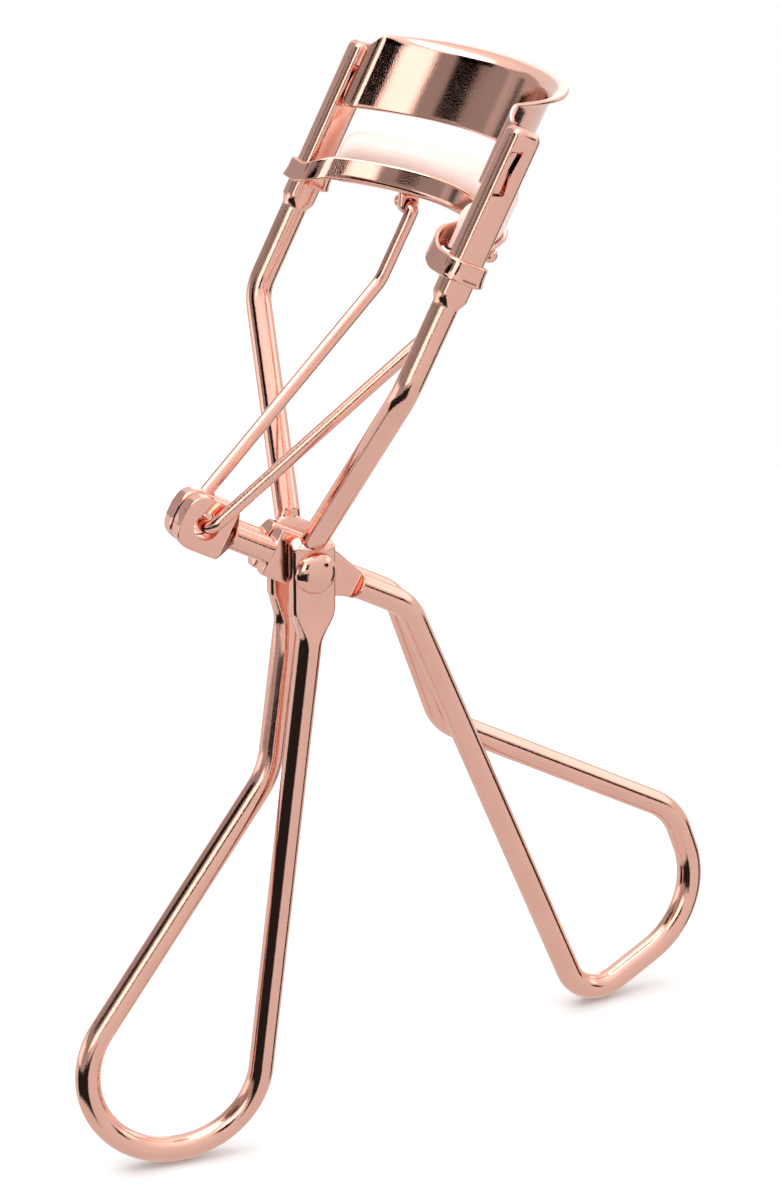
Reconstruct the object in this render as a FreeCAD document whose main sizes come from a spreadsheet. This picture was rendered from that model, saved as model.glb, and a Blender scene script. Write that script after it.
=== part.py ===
import FreeCAD, Part
import math
import os

import Sketcher
from FreeCAD import Placement, Rotation, Vector

# An eyelash curler: a bent-wire frame with two rails, a bent-wire lever on a rivet, a wire link,
# a fixed upper jaw and a lower jaw that slides on the rails and holds a silicone pad.
# Millimetres. X runs along the rivet, the jaws bulge towards +Y, Z is up.
# The origin is the centre of the frame's finger loop. "y" and "z" sizes are measured from the rivet.

NODES_FOLDER = "parts"

SIZES = {
    # where the rivet lies, seen from the centre of the frame's finger loop
    "rivet_y": 12.9,
    "rivet_z": 47.1,
    # wires and sheets
    "wire_dia": 2.3,
    "link_dia": 1.2,
    "flat_thick": 1.5,
    "sheet_thick": 0.6,
    "side_gap": 0.1,
    "rivet_fit": 0.05,
    # frame: eye plates, legs and rails
    "eye_width": 4.0,
    "eye_top": 3.6,
    "eye_bottom": 5.2,
    "bend_y": 2.7,
    "bend_z": 19.6,
    "bend_radius": 4.0,
    "rail_x": 15.5,
    "rail_length": 23.7,
    "rail_tilt": 27.0,
    "rail_deep": 2.7,
    "rail_broad": 2.3,
    "rail_flat_start": 8.0,
    # frame: finger loop
    "loop_radius": 7.9,
    "loop_top_y": -2.6,
    "loop_top_z": -20.3,
    "loop_top_radius": 8.0,
    "strand_x": 1.45,
    # lever
    "lever_angle": 29.0,
    "lever_front": 10.6,
    "lever_rear": 11.0,
    "lever_gap": 0.3,
    "block_height": 4.4,
    "block_front": 6.2,
    "block_rear": 6.2,
    "front_eye_dia": 4.8,
    "front_eye_length": 3.0,
    "front_hole_dia": 2.4,
    "lever_bend_radius": 4.5,
    "lever_fork_y": 14.2,
    "lever_fork_z": -18.4,
    "lever_low_y": 27.9,
    "lever_low_z": -49.2,
    "lever_low_radius": 3.8,
    "lever_out_y": 41.6,
    "lever_out_z": -42.4,
    "lever_out_radius": 8.0,
    "lever_top_y": 38.0,
    "lever_top_z": -31.8,
    "lever_top_radius": 6.0,
    # rivet
    "rivet_dia": 2.4,
    "rivet_head_dia": 3.8,
    "rivet_head_height": 1.1,
    # jaws
    "jaw_plane": 7.0,
    "jaw_radius": 13.8,
    "jaw_back": 0.5,
    "jaw_half_width": 12.75,
    "jaw_height": 5.4,
    "jaw_station": 18.2,
    "flare_out": 0.9,
    "flare_up": 1.4,
    "ear_height": 3.6,
    "tab_fit": 0.02,
    # lower jaw
    "channel_station": 11.7,
    "channel_width": 3.6,
    "channel_height": 2.4,
    "channel_half_width": 13.8,
    "collar_height": 1.8,
    "collar_drop": 1.4,
    "collar_fit": 0.1,
    "collar_sheet": 0.5,
    "pad_fit": 0.1,
    "pad_above": 2.2,
    "pad_half_width": 13.4,
    "bulb_dia": 2.6,
    # link
    "lug_x": 7.5,
    "lug_drop": 1.1,
    "lug_dia": 2.0,
    "lug_thick": 1.0,
    "pin_dia": 1.1,
    "pin_fit": 0.05,
    "ball_dia": 1.5,
    "link_bend_x": 6.3,
    "link_bend_y": 10.5,
    "link_bend_z": 22.1,
    "link_bend_radius": 3.0,
}


def make_sheet(document):
    """Write the driving dimensions into a spreadsheet, one aliased cell each."""
    sheet = document.addObject("Spreadsheet::Sheet", "Sizes")
    for row, (alias, value) in enumerate(SIZES.items(), start=1):
        sheet.set(f"A{row}", alias)
        sheet.set(f"B{row}", str(value))
        sheet.setAlias(f"B{row}", alias)
    document.recompute()
    return sheet


DOCUMENT = FreeCAD.newDocument("eyelash_curler")
SHEET = make_sheet(DOCUMENT)


def size(alias):
    """Read one driving dimension back from the sheet."""
    return float(SHEET.get(alias))


# ---------------------------------------------------------------- shared places

def rivet_place():
    """The placement whose origin is the middle of the rivet."""
    return Placement(Vector(0, size("rivet_y"), size("rivet_z")), Rotation())


def rail_point(station):
    """A point on the rails' side line, this far above their lower bend, seen from the rivet."""
    tilt = math.radians(size("rail_tilt"))
    along_y = size("bend_y") + station * math.sin(tilt)
    along_z = size("bend_z") + station * math.cos(tilt)
    return Vector(0, along_y, along_z)


def jaw_place(station):
    """The placement of a jaw: on the rails' line at a station, tipped forwards to the jaws' plane."""
    tip = Rotation(Vector(1, 0, 0), -size("jaw_plane"))
    return rivet_place() * Placement(rail_point(station), tip)


def lean():
    """The angle, in radians, between the rails and the jaws' own upright."""
    return math.radians(size("rail_tilt") - size("jaw_plane"))


def along_rail(station):
    """A step along the rails, in a jaw's own axes."""
    return Vector(0, station * math.sin(lean()), station * math.cos(lean()))


def arc_centre():
    """How far the jaws' arc centre lies behind the rails' line."""
    return size("jaw_back") + math.sqrt(size("jaw_radius") ** 2 - size("jaw_half_width") ** 2)


def frame_eye_x():
    """Middle of a frame eye plate, outside the lever's two flats."""
    return size("lever_gap") / 2 + 1.5 * size("flat_thick") + size("side_gap")


def lever_eye_x():
    """Middle of one of the lever's flats."""
    return size("lever_gap") / 2 + size("flat_thick") / 2


def lever_point(distance):
    """A point on the lever's straight bar: negative towards the link, positive towards the loop."""
    angle = math.radians(size("lever_angle"))
    return Vector(0, distance * math.cos(angle), -distance * math.sin(angle))


# ---------------------------------------------------------------- bent wires

def corner_arc(before, corner, after, radius):
    """The tangent arc that rounds one corner of a wire, with its two end points."""
    to_before = (before - corner).normalize()
    to_after = (after - corner).normalize()
    half = to_before.getAngle(to_after) / 2
    reach = radius / math.tan(half)
    start = corner + to_before * reach
    end = corner + to_after * reach
    middle_way = (to_before + to_after).normalize()
    middle = corner + middle_way * (radius / math.sin(half) - radius)
    return start, end, Part.Arc(start, middle, end).toShape()


def bent_path(points, radii):
    """A chain of straight lines through the points, its inner corners rounded."""
    edges = []
    start = points[0]
    for index, radius in enumerate(radii, start=1):
        before, corner, after = points[index - 1:index + 2]
        arc_start, arc_end, arc = corner_arc(before, corner, after, radius)
        edges.append(Part.makeLine(start, arc_start))
        edges.append(arc)
        start = arc_end
    edges.append(Part.makeLine(start, points[-1]))
    return Part.Wire(edges)


def round_wire(points, radii, diameter):
    """A round wire of one diameter along a bent path."""
    path = bent_path(points, radii)
    section = Part.Wire(Part.makeCircle(diameter / 2, points[0], points[1] - points[0]))
    return path.makePipeShell([section], True, False)


def mirrored(points):
    """The same points on the other side of the middle plane."""
    return [Vector(-point.x, point.y, point.z) for point in points]


def eye_plate(middle_x, width, top, bottom, turn):
    """A flattened stretch of wire: a plate with round ends, turned about the X axis."""
    thick = size("flat_thick")
    straight = Part.makeBox(thick, width, top + bottom - width,
                            Vector(middle_x - thick / 2, -width / 2, -bottom + width / 2))
    plate = straight
    for height in (top - width / 2, -bottom + width / 2):
        middle = Vector(middle_x - thick / 2, 0, height)
        end = Part.makeCylinder(width / 2, thick, middle, Vector(1, 0, 0))
        plate = plate.fuse(end)
    plate = plate.removeSplitter()
    plate.rotate(Vector(0, 0, 0), Vector(1, 0, 0), turn)
    return plate


def across(diameter, half_length, place):
    """A bar across the middle plane, used to bore the eyes."""
    start = place - Vector(half_length, 0, 0)
    return Part.makeCylinder(diameter / 2, 2 * half_length, start, Vector(1, 0, 0))


def join(shapes):
    """One solid from overlapping ones."""
    whole = shapes[0].multiFuse(shapes[1:])
    return whole.removeSplitter()


def publish(label, shape, place):
    """Keep a finished shape in the document under its own label."""
    feature = DOCUMENT.addObject("Part::Feature", label)
    feature.Label = label
    solids = shape.Solids
    feature.Shape = solids[0] if len(solids) == 1 else shape
    feature.Placement = place
    return feature


# ---------------------------------------------------------------- frame

def frame_strands():
    """The wire's path below the eyes: down the near strand, round the finger loop, up the far one."""
    eye_x = frame_eye_x()
    radius = size("loop_radius")
    centre = Vector(0, -size("rivet_y"), -size("rivet_z"))
    eye = Vector(0, 0, -size("eye_bottom") + size("wire_dia") / 2)
    near_way = tangent_way(eye, centre, radius, 1)
    top = Vector(0, size("loop_top_y"), size("loop_top_z"))
    far_way = tangent_way(top, centre, radius, -1)
    low_right = meet(eye, near_way, centre + Vector(0, 0, -radius), Vector(0, 1, 0))
    low_left = meet(top, far_way, centre + Vector(0, 0, -radius), Vector(0, 1, 0))
    strand_x = size("strand_x")
    points = [
        Vector(eye_x, eye.y, eye.z),
        Vector(strand_x, low_right.y, low_right.z),
        Vector(-strand_x / 2, low_left.y, low_left.z),
        Vector(-strand_x, top.y, top.z),
        Vector(-eye_x, eye.y, eye.z),
    ]
    return points, [radius, radius, size("loop_top_radius")]


def tangent_way(point, centre, radius, side):
    """The direction from a point that touches a circle, passing it on the +Y (1) or -Y (-1) side."""
    to_centre = centre - point
    distance = to_centre.Length
    angle = math.atan2(to_centre.z, to_centre.y) + side * math.asin(radius / distance)
    return Vector(0, math.cos(angle), math.sin(angle))


def meet(first, first_way, second, second_way):
    """Where two lines in the YZ plane cross."""
    gap = second - first
    cross = first_way.y * second_way.z - first_way.z * second_way.y
    step = (gap.y * second_way.z - gap.z * second_way.y) / cross
    return first + first_way * step


def leg_points():
    """The path above an eye: out along the leg, then up the rail."""
    eye_x = frame_eye_x()
    top = size("eye_top") - size("wire_dia") / 2
    bend = rail_point(0)
    end = rail_point(size("rail_length"))
    return [
        Vector(eye_x, 0, top),
        Vector(size("rail_x"), bend.y, bend.z),
        Vector(size("rail_x"), end.y, end.z),
    ]


def rail_flat(side):
    """The pressed stretch of a rail, with rounded corners."""
    broad = size("rail_broad")
    deep = size("rail_deep")
    length = size("rail_length") - size("rail_flat_start")
    block = Part.makeBox(broad, deep, length, Vector(-broad / 2, -deep / 2, 0))
    uprights = [edge for edge in block.Edges if abs(edge.BoundBox.ZLength - length) < 0.001]
    block = block.makeFillet(broad / 4, uprights)
    start = rail_point(size("rail_flat_start"))
    block.rotate(Vector(0, 0, 0), Vector(1, 0, 0), -size("rail_tilt"))
    block.translate(Vector(side * size("rail_x"), start.y, start.z))
    return block


def tab_slot(side):
    """The slot through a rail that takes the upper jaw's tab."""
    fit = size("tab_fit")
    outer = size("rail_x") + size("rail_broad")
    inner = size("jaw_half_width")
    depth = size("sheet_thick") + 2 * fit
    low = along_rail(-fit)
    high = along_rail(size("ear_height") + fit)
    middle = -size("jaw_back")
    corners = [
        Vector(0, low.y + middle - depth / 2, low.z),
        Vector(0, low.y + middle + depth / 2, low.z),
        Vector(0, high.y + middle + depth / 2, high.z),
        Vector(0, high.y + middle - depth / 2, high.z),
    ]
    face = Part.Face(Part.makePolygon(corners + corners[:1]))
    slot = face.extrude(Vector(outer - inner, 0, 0))
    slot.translate(Vector(inner if side > 0 else -outer, 0, 0))
    jaw_turn = Rotation(Vector(1, 0, 0), -size("jaw_plane"))
    slot.Placement = Placement(rail_point(size("jaw_station")), jaw_turn) * slot.Placement
    return slot


def make_frame_wire():
    """The frame: rails, legs, eye plates and finger loop, bent from one wire."""
    diameter = size("wire_dia")
    strands, strand_radii = frame_strands()
    shapes = [round_wire(strands, strand_radii, diameter)]
    legs = leg_points()
    for side, points in ((1, legs), (-1, mirrored(legs))):
        shapes.append(round_wire(points, [size("bend_radius")], diameter))
        shapes.append(rail_flat(side))
        eye_x = side * frame_eye_x()
        shapes.append(eye_plate(eye_x, size("eye_width"), size("eye_top"), size("eye_bottom"), 0))
    whole = join(shapes)
    bore = across(size("rivet_dia"), 2 * size("rail_x"), Vector(0, 0, 0))
    lever_reach = max(size("block_front"), size("block_rear")) + size("side_gap")
    lever_room = across(2 * lever_reach, frame_eye_x() - size("flat_thick") / 2, Vector(0, 0, 0))
    whole = whole.cut(bore).cut(lever_room)
    for side in (1, -1):
        whole = whole.cut(tab_slot(side))
    return publish("frame_wire", whole, rivet_place())


# ---------------------------------------------------------------- lever

def lever_strands():
    """The lever's path behind the flats: down, round its finger loop and back."""
    side_x = size("wire_dia") / 2 + size("lever_gap") / 2
    start = lever_point(size("block_rear") - size("wire_dia") / 2)
    bend = lever_point(size("lever_rear"))
    points = [
        Vector(side_x, start.y, start.z),
        Vector(side_x, bend.y, bend.z),
        Vector(side_x, size("lever_low_y"), size("lever_low_z")),
        Vector(0, size("lever_out_y"), size("lever_out_z")),
        Vector(-side_x / 2, size("lever_top_y"), size("lever_top_z")),
        Vector(-side_x, size("lever_fork_y"), size("lever_fork_z")),
        Vector(-side_x, bend.y, bend.z),
        Vector(-side_x, start.y, start.z),
    ]
    radii = [
        size("lever_bend_radius"),
        size("lever_low_radius"),
        size("lever_out_radius"),
        size("lever_top_radius"),
        size("lever_bend_radius"),
        size("lever_bend_radius"),
    ]
    return points, radii


def lever_front_parts(side):
    """One front rod, its eye for the link and its flat at the rivet."""
    side_x = side * (size("wire_dia") / 2 + size("lever_gap") / 2)
    eye_x = side * lever_eye_x()
    half = size("wire_dia") / 2
    start = lever_point(-size("block_front") + half)
    end = lever_point(-size("lever_front") + size("front_eye_length") - half)
    way = end - start
    rod = Part.makeCylinder(half, way.Length, start + Vector(side_x, 0, 0), way)
    turn = 90 - size("lever_angle")
    block = eye_plate(eye_x, size("block_height"), size("block_front"), size("block_rear"), turn)
    eye_dia = size("front_eye_dia")
    eye = eye_plate(eye_x, eye_dia, eye_dia / 2, size("front_eye_length"), turn)
    hook = lever_point(-size("lever_front"))
    eye.translate(hook)
    return [rod, block, eye]


def make_lever_wire():
    """The lever: two front eyes, two flats on the rivet and a finger loop, bent from one wire."""
    strands, radii = lever_strands()
    shapes = [round_wire(strands, radii, size("wire_dia"))]
    for side in (1, -1):
        shapes.extend(lever_front_parts(side))
    whole = join(shapes)
    reach = 2 * size("rail_x")
    whole = whole.cut(across(size("rivet_dia") + 2 * size("rivet_fit"), reach, Vector(0, 0, 0)))
    whole = whole.cut(across(size("front_hole_dia"), reach, lever_point(-size("lever_front"))))
    return publish("lever_wire", whole, rivet_place())


# ---------------------------------------------------------------- bodies and sketches

def new_body(label, place):
    """A PartDesign body with its own label and placement."""
    body = DOCUMENT.addObject("PartDesign::Body", label)
    body.Label = label
    body.Placement = place
    return body


def origin_plane(body, role):
    """One of a body's own origin planes."""
    return next(item for item in body.Origin.OriginFeatures if item.Role == role)


def new_sketch(body, name, role="XY_Plane", offset=None):
    """An empty sketch on one of the body's origin planes, moved by an offset."""
    sketch = body.newObject("Sketcher::SketchObject", name)
    sketch.AttachmentSupport = [(origin_plane(body, role), "")]
    sketch.MapMode = "FlatFace"
    if offset is not None:
        sketch.AttachmentOffset = offset
    return sketch


def drive(sketch, constraint, name, formula):
    """Add a named dimension to a sketch and bind it to the sheet."""
    index = sketch.addConstraint(constraint)
    sketch.renameConstraint(index, name)
    sketch.setExpression(f"Constraints.{name}", formula)


def draw_band(sketch, inner, outer, half_width, centre):
    """A curved strip between two arcs about one centre behind the rails, its ends square to it.

    Each argument is a pair: the value now, and the formula that binds it to the sheet.
    """
    middle = Vector(0, -centre[0], 0)
    end_angle = math.acos(min(1.0, half_width[0] / outer[0]))
    normal = Vector(0, 0, 1)
    for radius in (outer[0], inner[0]):
        circle = Part.Circle(middle, normal, radius)
        sketch.addGeometry(Part.ArcOfCircle(circle, end_angle, math.pi - end_angle))
    for angle in (end_angle, math.pi - end_angle):
        way = Vector(math.cos(angle), math.sin(angle), 0)
        sketch.addGeometry(Part.LineSegment(middle + way * outer[0], middle + way * inner[0]))
    sketch.addConstraint([
        Sketcher.Constraint("Coincident", 0, 1, 2, 1),
        Sketcher.Constraint("Coincident", 1, 1, 2, 2),
        Sketcher.Constraint("Coincident", 0, 2, 3, 1),
        Sketcher.Constraint("Coincident", 1, 2, 3, 2),
        Sketcher.Constraint("Coincident", 0, 3, 1, 3),
        Sketcher.Constraint("PointOnObject", 0, 3, -2),
        Sketcher.Constraint("PointOnObject", 0, 3, 2),
        Sketcher.Constraint("Symmetric", 0, 1, 0, 2, -2),
    ])
    drive(sketch, Sketcher.Constraint("Radius", 0, outer[0]), "outer", outer[1])
    drive(sketch, Sketcher.Constraint("Radius", 1, inner[0]), "inner", inner[1])
    drive(sketch, Sketcher.Constraint("DistanceY", 0, 3, -1, 1, centre[0]), "centre", centre[1])
    reach = Sketcher.Constraint("DistanceX", -1, 1, 0, 1, half_width[0])
    drive(sketch, reach, "half_width", half_width[1])


def draw_outline(sketch, corners, name):
    """A closed outline of straight sides whose corners are each bound to the sheet.

    Each corner is two pairs, across and up: the value now, and the formula that binds it.
    """
    first = sketch.GeometryCount
    count = len(corners)
    places = [Vector(across_pair[0], up_pair[0], 0) for across_pair, up_pair in corners]
    for index in range(count):
        sketch.addGeometry(Part.LineSegment(places[index], places[(index + 1) % count]))
    for index in range(count):
        following = first + (index + 1) % count
        sketch.addConstraint(Sketcher.Constraint("Coincident", first + index, 2, following, 1))
    for index, (across_pair, up_pair) in enumerate(corners):
        side = first + index
        drive(sketch, Sketcher.Constraint("DistanceX", -1, 1, side, 1, across_pair[0]),
              f"{name}_across_{index}", across_pair[1])
        drive(sketch, Sketcher.Constraint("DistanceY", -1, 1, side, 1, up_pair[0]),
              f"{name}_up_{index}", up_pair[1])


def draw_both_sides(sketch, corners):
    """The same outline on the near side and mirrored on the far side, from pairs of formulas."""
    near = [(valued(across_text), valued(up_text)) for across_text, up_text in corners]
    far = [(valued(f"-({across_text})"), valued(up_text)) for across_text, up_text in reversed(corners)]
    draw_outline(sketch, near, "near")
    draw_outline(sketch, far, "far")


def box_corners(left, right, low, high):
    """The four corners of a rectangle, from the formulas of its sides."""
    return [(left, low), (right, low), (right, high), (left, high)]


def valued(formula):
    """A pair of a formula's value now and the formula itself, its names read from the sheet."""
    probe = SHEET.evalExpression(formula.replace("Sizes.", ""))
    return float(probe), formula


def pad_along(body, name, sketch, length, rising=True):
    """Pad a sketch in the rails' direction rather than square to its plane."""
    pad = body.newObject("PartDesign::Pad", name)
    pad.Profile = sketch
    set_way(pad, rising)
    pad.setExpression("Length", length)
    sketch.Visibility = False
    return pad


def set_way(feature, rising=True):
    """Point a pad or pocket along the rails, up or down."""
    way = along_rail(1 if rising else -1)
    feature.UseCustomVector = True
    feature.Direction = way
    feature.AlongSketchNormal = False


def pocket_along(body, name, sketch, length):
    """Cut a sketch upwards in the rails' direction."""
    pocket = body.newObject("PartDesign::Pocket", name)
    pocket.Profile = sketch
    set_way(pocket)
    pocket.setExpression("Length", length)
    sketch.Visibility = False
    return pocket


CENTRE = "Sizes.jaw_back + sqrt(Sizes.jaw_radius ^ 2 - Sizes.jaw_half_width ^ 2)"


# ---------------------------------------------------------------- rivet

def make_rivet():
    """The rivet: a shank through both wires' flats and a domed head at each end."""
    body = new_body("pivot_rivet", rivet_place())
    sketch = new_sketch(body, "rivet_profile")
    grip = frame_eye_x() + size("flat_thick") / 2
    grip_formula = "Sizes.lever_gap / 2 + 2 * Sizes.flat_thick + Sizes.side_gap"
    shank = size("rivet_dia") / 2
    head = size("rivet_head_dia") / 2
    height = size("rivet_head_height")
    dome = (head ** 2 + height ** 2) / (2 * height)
    sweep = math.asin(head / dome)
    dome_circle = Part.Circle(Vector(grip + height - dome, 0, 0), Vector(0, 0, 1), dome)
    sketch.addGeometry([
        Part.LineSegment(Vector(-grip - height, 0, 0), Vector(grip + height, 0, 0)),
        Part.ArcOfCircle(dome_circle, 0, sweep),
        Part.LineSegment(Vector(grip, head, 0), Vector(grip, shank, 0)),
        Part.LineSegment(Vector(grip, shank, 0), Vector(-grip, shank, 0)),
        Part.LineSegment(Vector(-grip, shank, 0), Vector(-grip, head, 0)),
        Part.ArcOfCircle(Part.Circle(Vector(dome - grip - height, 0, 0), Vector(0, 0, 1), dome),
                         math.pi - sweep, math.pi),
    ])
    sketch.addConstraint([
        Sketcher.Constraint("PointOnObject", 0, 1, -1),
        Sketcher.Constraint("PointOnObject", 0, 2, -1),
        Sketcher.Constraint("Coincident", 0, 2, 1, 1),
        Sketcher.Constraint("Coincident", 1, 2, 2, 1),
        Sketcher.Constraint("Coincident", 2, 2, 3, 1),
        Sketcher.Constraint("Coincident", 3, 2, 4, 1),
        Sketcher.Constraint("Coincident", 4, 2, 5, 1),
        Sketcher.Constraint("Coincident", 5, 2, 0, 1),
        Sketcher.Constraint("Vertical", 2),
        Sketcher.Constraint("Vertical", 4),
        Sketcher.Constraint("Horizontal", 3),
        Sketcher.Constraint("PointOnObject", 1, 3, -1),
        Sketcher.Constraint("PointOnObject", 5, 3, -1),
    ])
    total = f"{grip_formula} + Sizes.rivet_head_height"
    drive(sketch, Sketcher.Constraint("DistanceX", -1, 1, 3, 1, grip), "grip", grip_formula)
    drive(sketch, Sketcher.Constraint("DistanceX", 3, 2, -1, 1, grip), "far_grip", grip_formula)
    drive(sketch, Sketcher.Constraint("DistanceX", -1, 1, 0, 2, grip + height), "end", total)
    drive(sketch, Sketcher.Constraint("DistanceX", 0, 1, -1, 1, grip + height), "far_end", total)
    drive(sketch, Sketcher.Constraint("DistanceY", -1, 1, 3, 1, shank), "shank", "Sizes.rivet_dia / 2")
    for name, line, end in (("head", 2, 1), ("far_head", 4, 2)):
        rim = Sketcher.Constraint("DistanceY", -1, 1, line, end, head)
        drive(sketch, rim, name, "Sizes.rivet_head_dia / 2")
    turned = body.newObject("PartDesign::Revolution", "rivet_turned")
    turned.Profile = sketch
    turned.ReferenceAxis = (sketch, ["H_Axis"])
    turned.Angle = 360
    sketch.Visibility = False
    return body


# ---------------------------------------------------------------- upper jaw

def flare_step(share):
    """The flare's steps outwards and up the rails at a share of its way, along a quarter wave."""
    swing = share * math.pi / 2
    return size("flare_out") * (1 - math.cos(swing)), size("flare_up") * math.sin(swing)


def make_upper_jaw():
    """The fixed jaw: a curved plate with a flared rim, a flange to each rail and a tab through it."""
    body = new_body("upper_jaw", jaw_place(size("jaw_station")))
    inner = valued("Sizes.jaw_radius - Sizes.sheet_thick / 2")
    outer = valued("Sizes.jaw_radius + Sizes.sheet_thick / 2")
    half_width = valued(f"Sizes.jaw_half_width * ({outer[1]}) / Sizes.jaw_radius")
    centre = valued(CENTRE)
    plate = new_sketch(body, "plate_outline")
    draw_band(plate, inner, outer, half_width, centre)
    pad_along(body, "plate", plate, "Sizes.jaw_height")
    DOCUMENT.recompute()

    sections = []
    for index in range(4):
        out, rise = flare_step(index / 3)
        lift = along_rail(size("jaw_height") + rise)
        section = new_sketch(body, f"flare_outline_{index}", offset=Placement(lift, Rotation()))
        draw_band(
            section,
            (inner[0] + out, f"{inner[1]} + {out}"),
            (outer[0] + out, f"{outer[1]} + {out}"),
            half_width,
            centre,
        )
        section.Visibility = False
        sections.append(section)
    flare = body.newObject("PartDesign::AdditiveLoft", "flare")
    flare.Profile = sections[0]
    flare.Sections = sections[1:]
    DOCUMENT.recompute()

    ears = new_sketch(body, "ear_outline")
    draw_both_sides(ears, box_corners(
        "Sizes.jaw_half_width - Sizes.sheet_thick",
        "Sizes.rail_x + Sizes.wire_dia / 2",
        "-Sizes.jaw_back - Sizes.sheet_thick / 2",
        "-Sizes.jaw_back + Sizes.sheet_thick / 2",
    ))
    pad_along(body, "ears", ears, "Sizes.ear_height")
    flanges = new_sketch(body, "flange_outline")
    draw_both_sides(flanges, box_corners(
        "Sizes.jaw_half_width - Sizes.sheet_thick",
        "Sizes.rail_x - Sizes.rail_broad / 2 - Sizes.tab_fit",
        "-Sizes.jaw_back - Sizes.sheet_thick / 2",
        "-Sizes.jaw_back + Sizes.sheet_thick / 2",
    ))
    pad_along(body, "flanges", flanges, "Sizes.jaw_height")
    return body


# ---------------------------------------------------------------- lower jaw and its pad

def make_lower_jaw():
    """The sliding jaw: a curved seat with a front wall, and a strap and a collar at each end."""
    body = new_body("lower_jaw", jaw_place(size("channel_station")))
    inner = valued("Sizes.jaw_radius - Sizes.channel_width / 2")
    outer = valued("Sizes.jaw_radius + Sizes.channel_width / 2")
    half_width = valued("Sizes.channel_half_width")
    centre = valued(CENTRE)
    block = new_sketch(body, "channel_outline")
    draw_band(block, inner, outer, half_width, centre)
    pad_along(body, "channel", block, "Sizes.channel_height")

    square = Rotation(Vector(1, 0, 0), -math.degrees(lean()))
    place = Placement(along_rail(-size("collar_drop")), square)
    collars = new_sketch(body, "collar_outline", offset=place)
    broad = "Sizes.rail_broad / 2 + Sizes.collar_fit + Sizes.collar_sheet"
    deep = "Sizes.rail_deep / 2 + Sizes.collar_fit + Sizes.collar_sheet"
    draw_collars(collars, broad, deep)
    ring = body.newObject("PartDesign::Pad", "collars")
    ring.Profile = collars
    ring.setExpression("Length", "Sizes.collar_height")
    collars.Visibility = False
    DOCUMENT.recompute()

    floor_place = Placement(along_rail(size("sheet_thick")), Rotation())
    groove = new_sketch(body, "groove_outline", offset=floor_place)
    groove_inner = valued("Sizes.jaw_radius - Sizes.channel_width / 2 + Sizes.sheet_thick")
    groove_outer = valued("Sizes.jaw_radius + Sizes.channel_width / 2 + Sizes.sheet_thick")
    groove_half = valued("Sizes.channel_half_width + 2 * Sizes.sheet_thick")
    draw_band(groove, groove_inner, groove_outer, groove_half, centre)
    pocket_along(body, "groove", groove, "Sizes.channel_height")
    DOCUMENT.recompute()

    lowered = Placement(along_rail(-size("collar_drop") / 2), Rotation())
    straps = new_sketch(body, "strap_outline", offset=lowered)
    draw_both_sides(straps, strap_corners(inner[1], outer[1]))
    pad_along(body, "straps", straps, "Sizes.collar_height")
    DOCUMENT.recompute()

    holes = new_sketch(body, "collar_bore", offset=place)
    broad = "Sizes.rail_broad / 2 + Sizes.collar_fit"
    deep = "Sizes.rail_deep / 2 + Sizes.collar_fit"
    draw_collars(holes, broad, deep)
    bore = body.newObject("PartDesign::Pocket", "bores")
    bore.Profile = holes
    bore.Midplane = True
    bore.setExpression("Length", "6 * Sizes.channel_height")
    holes.Visibility = False
    return body


def strap_corners(inner, outer):
    """The slanted strap that carries the channel's front wall out to the collar's front."""
    def wall_end(radius):
        end = f"Sizes.channel_half_width * ({radius}) / ({outer})"
        return end, f"sqrt(({radius}) ^ 2 - ({end}) ^ 2) - ({CENTRE})"
    collar = "Sizes.rail_x - Sizes.rail_broad / 2 + Sizes.sheet_thick"
    front = "-Sizes.rail_deep / 2 - Sizes.collar_fit"
    return [
        wall_end(inner),
        (collar, f"{front} - Sizes.collar_sheet"),
        (collar, front),
        wall_end(f"{inner} + Sizes.sheet_thick"),
    ]


def draw_collars(sketch, broad, deep):
    """A rectangle round each rail, given the formulas of its half breadth and half depth."""
    corners = box_corners(f"Sizes.rail_x - ({broad})", f"Sizes.rail_x + {broad}", f"-({deep})", deep)
    draw_both_sides(sketch, corners)


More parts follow.
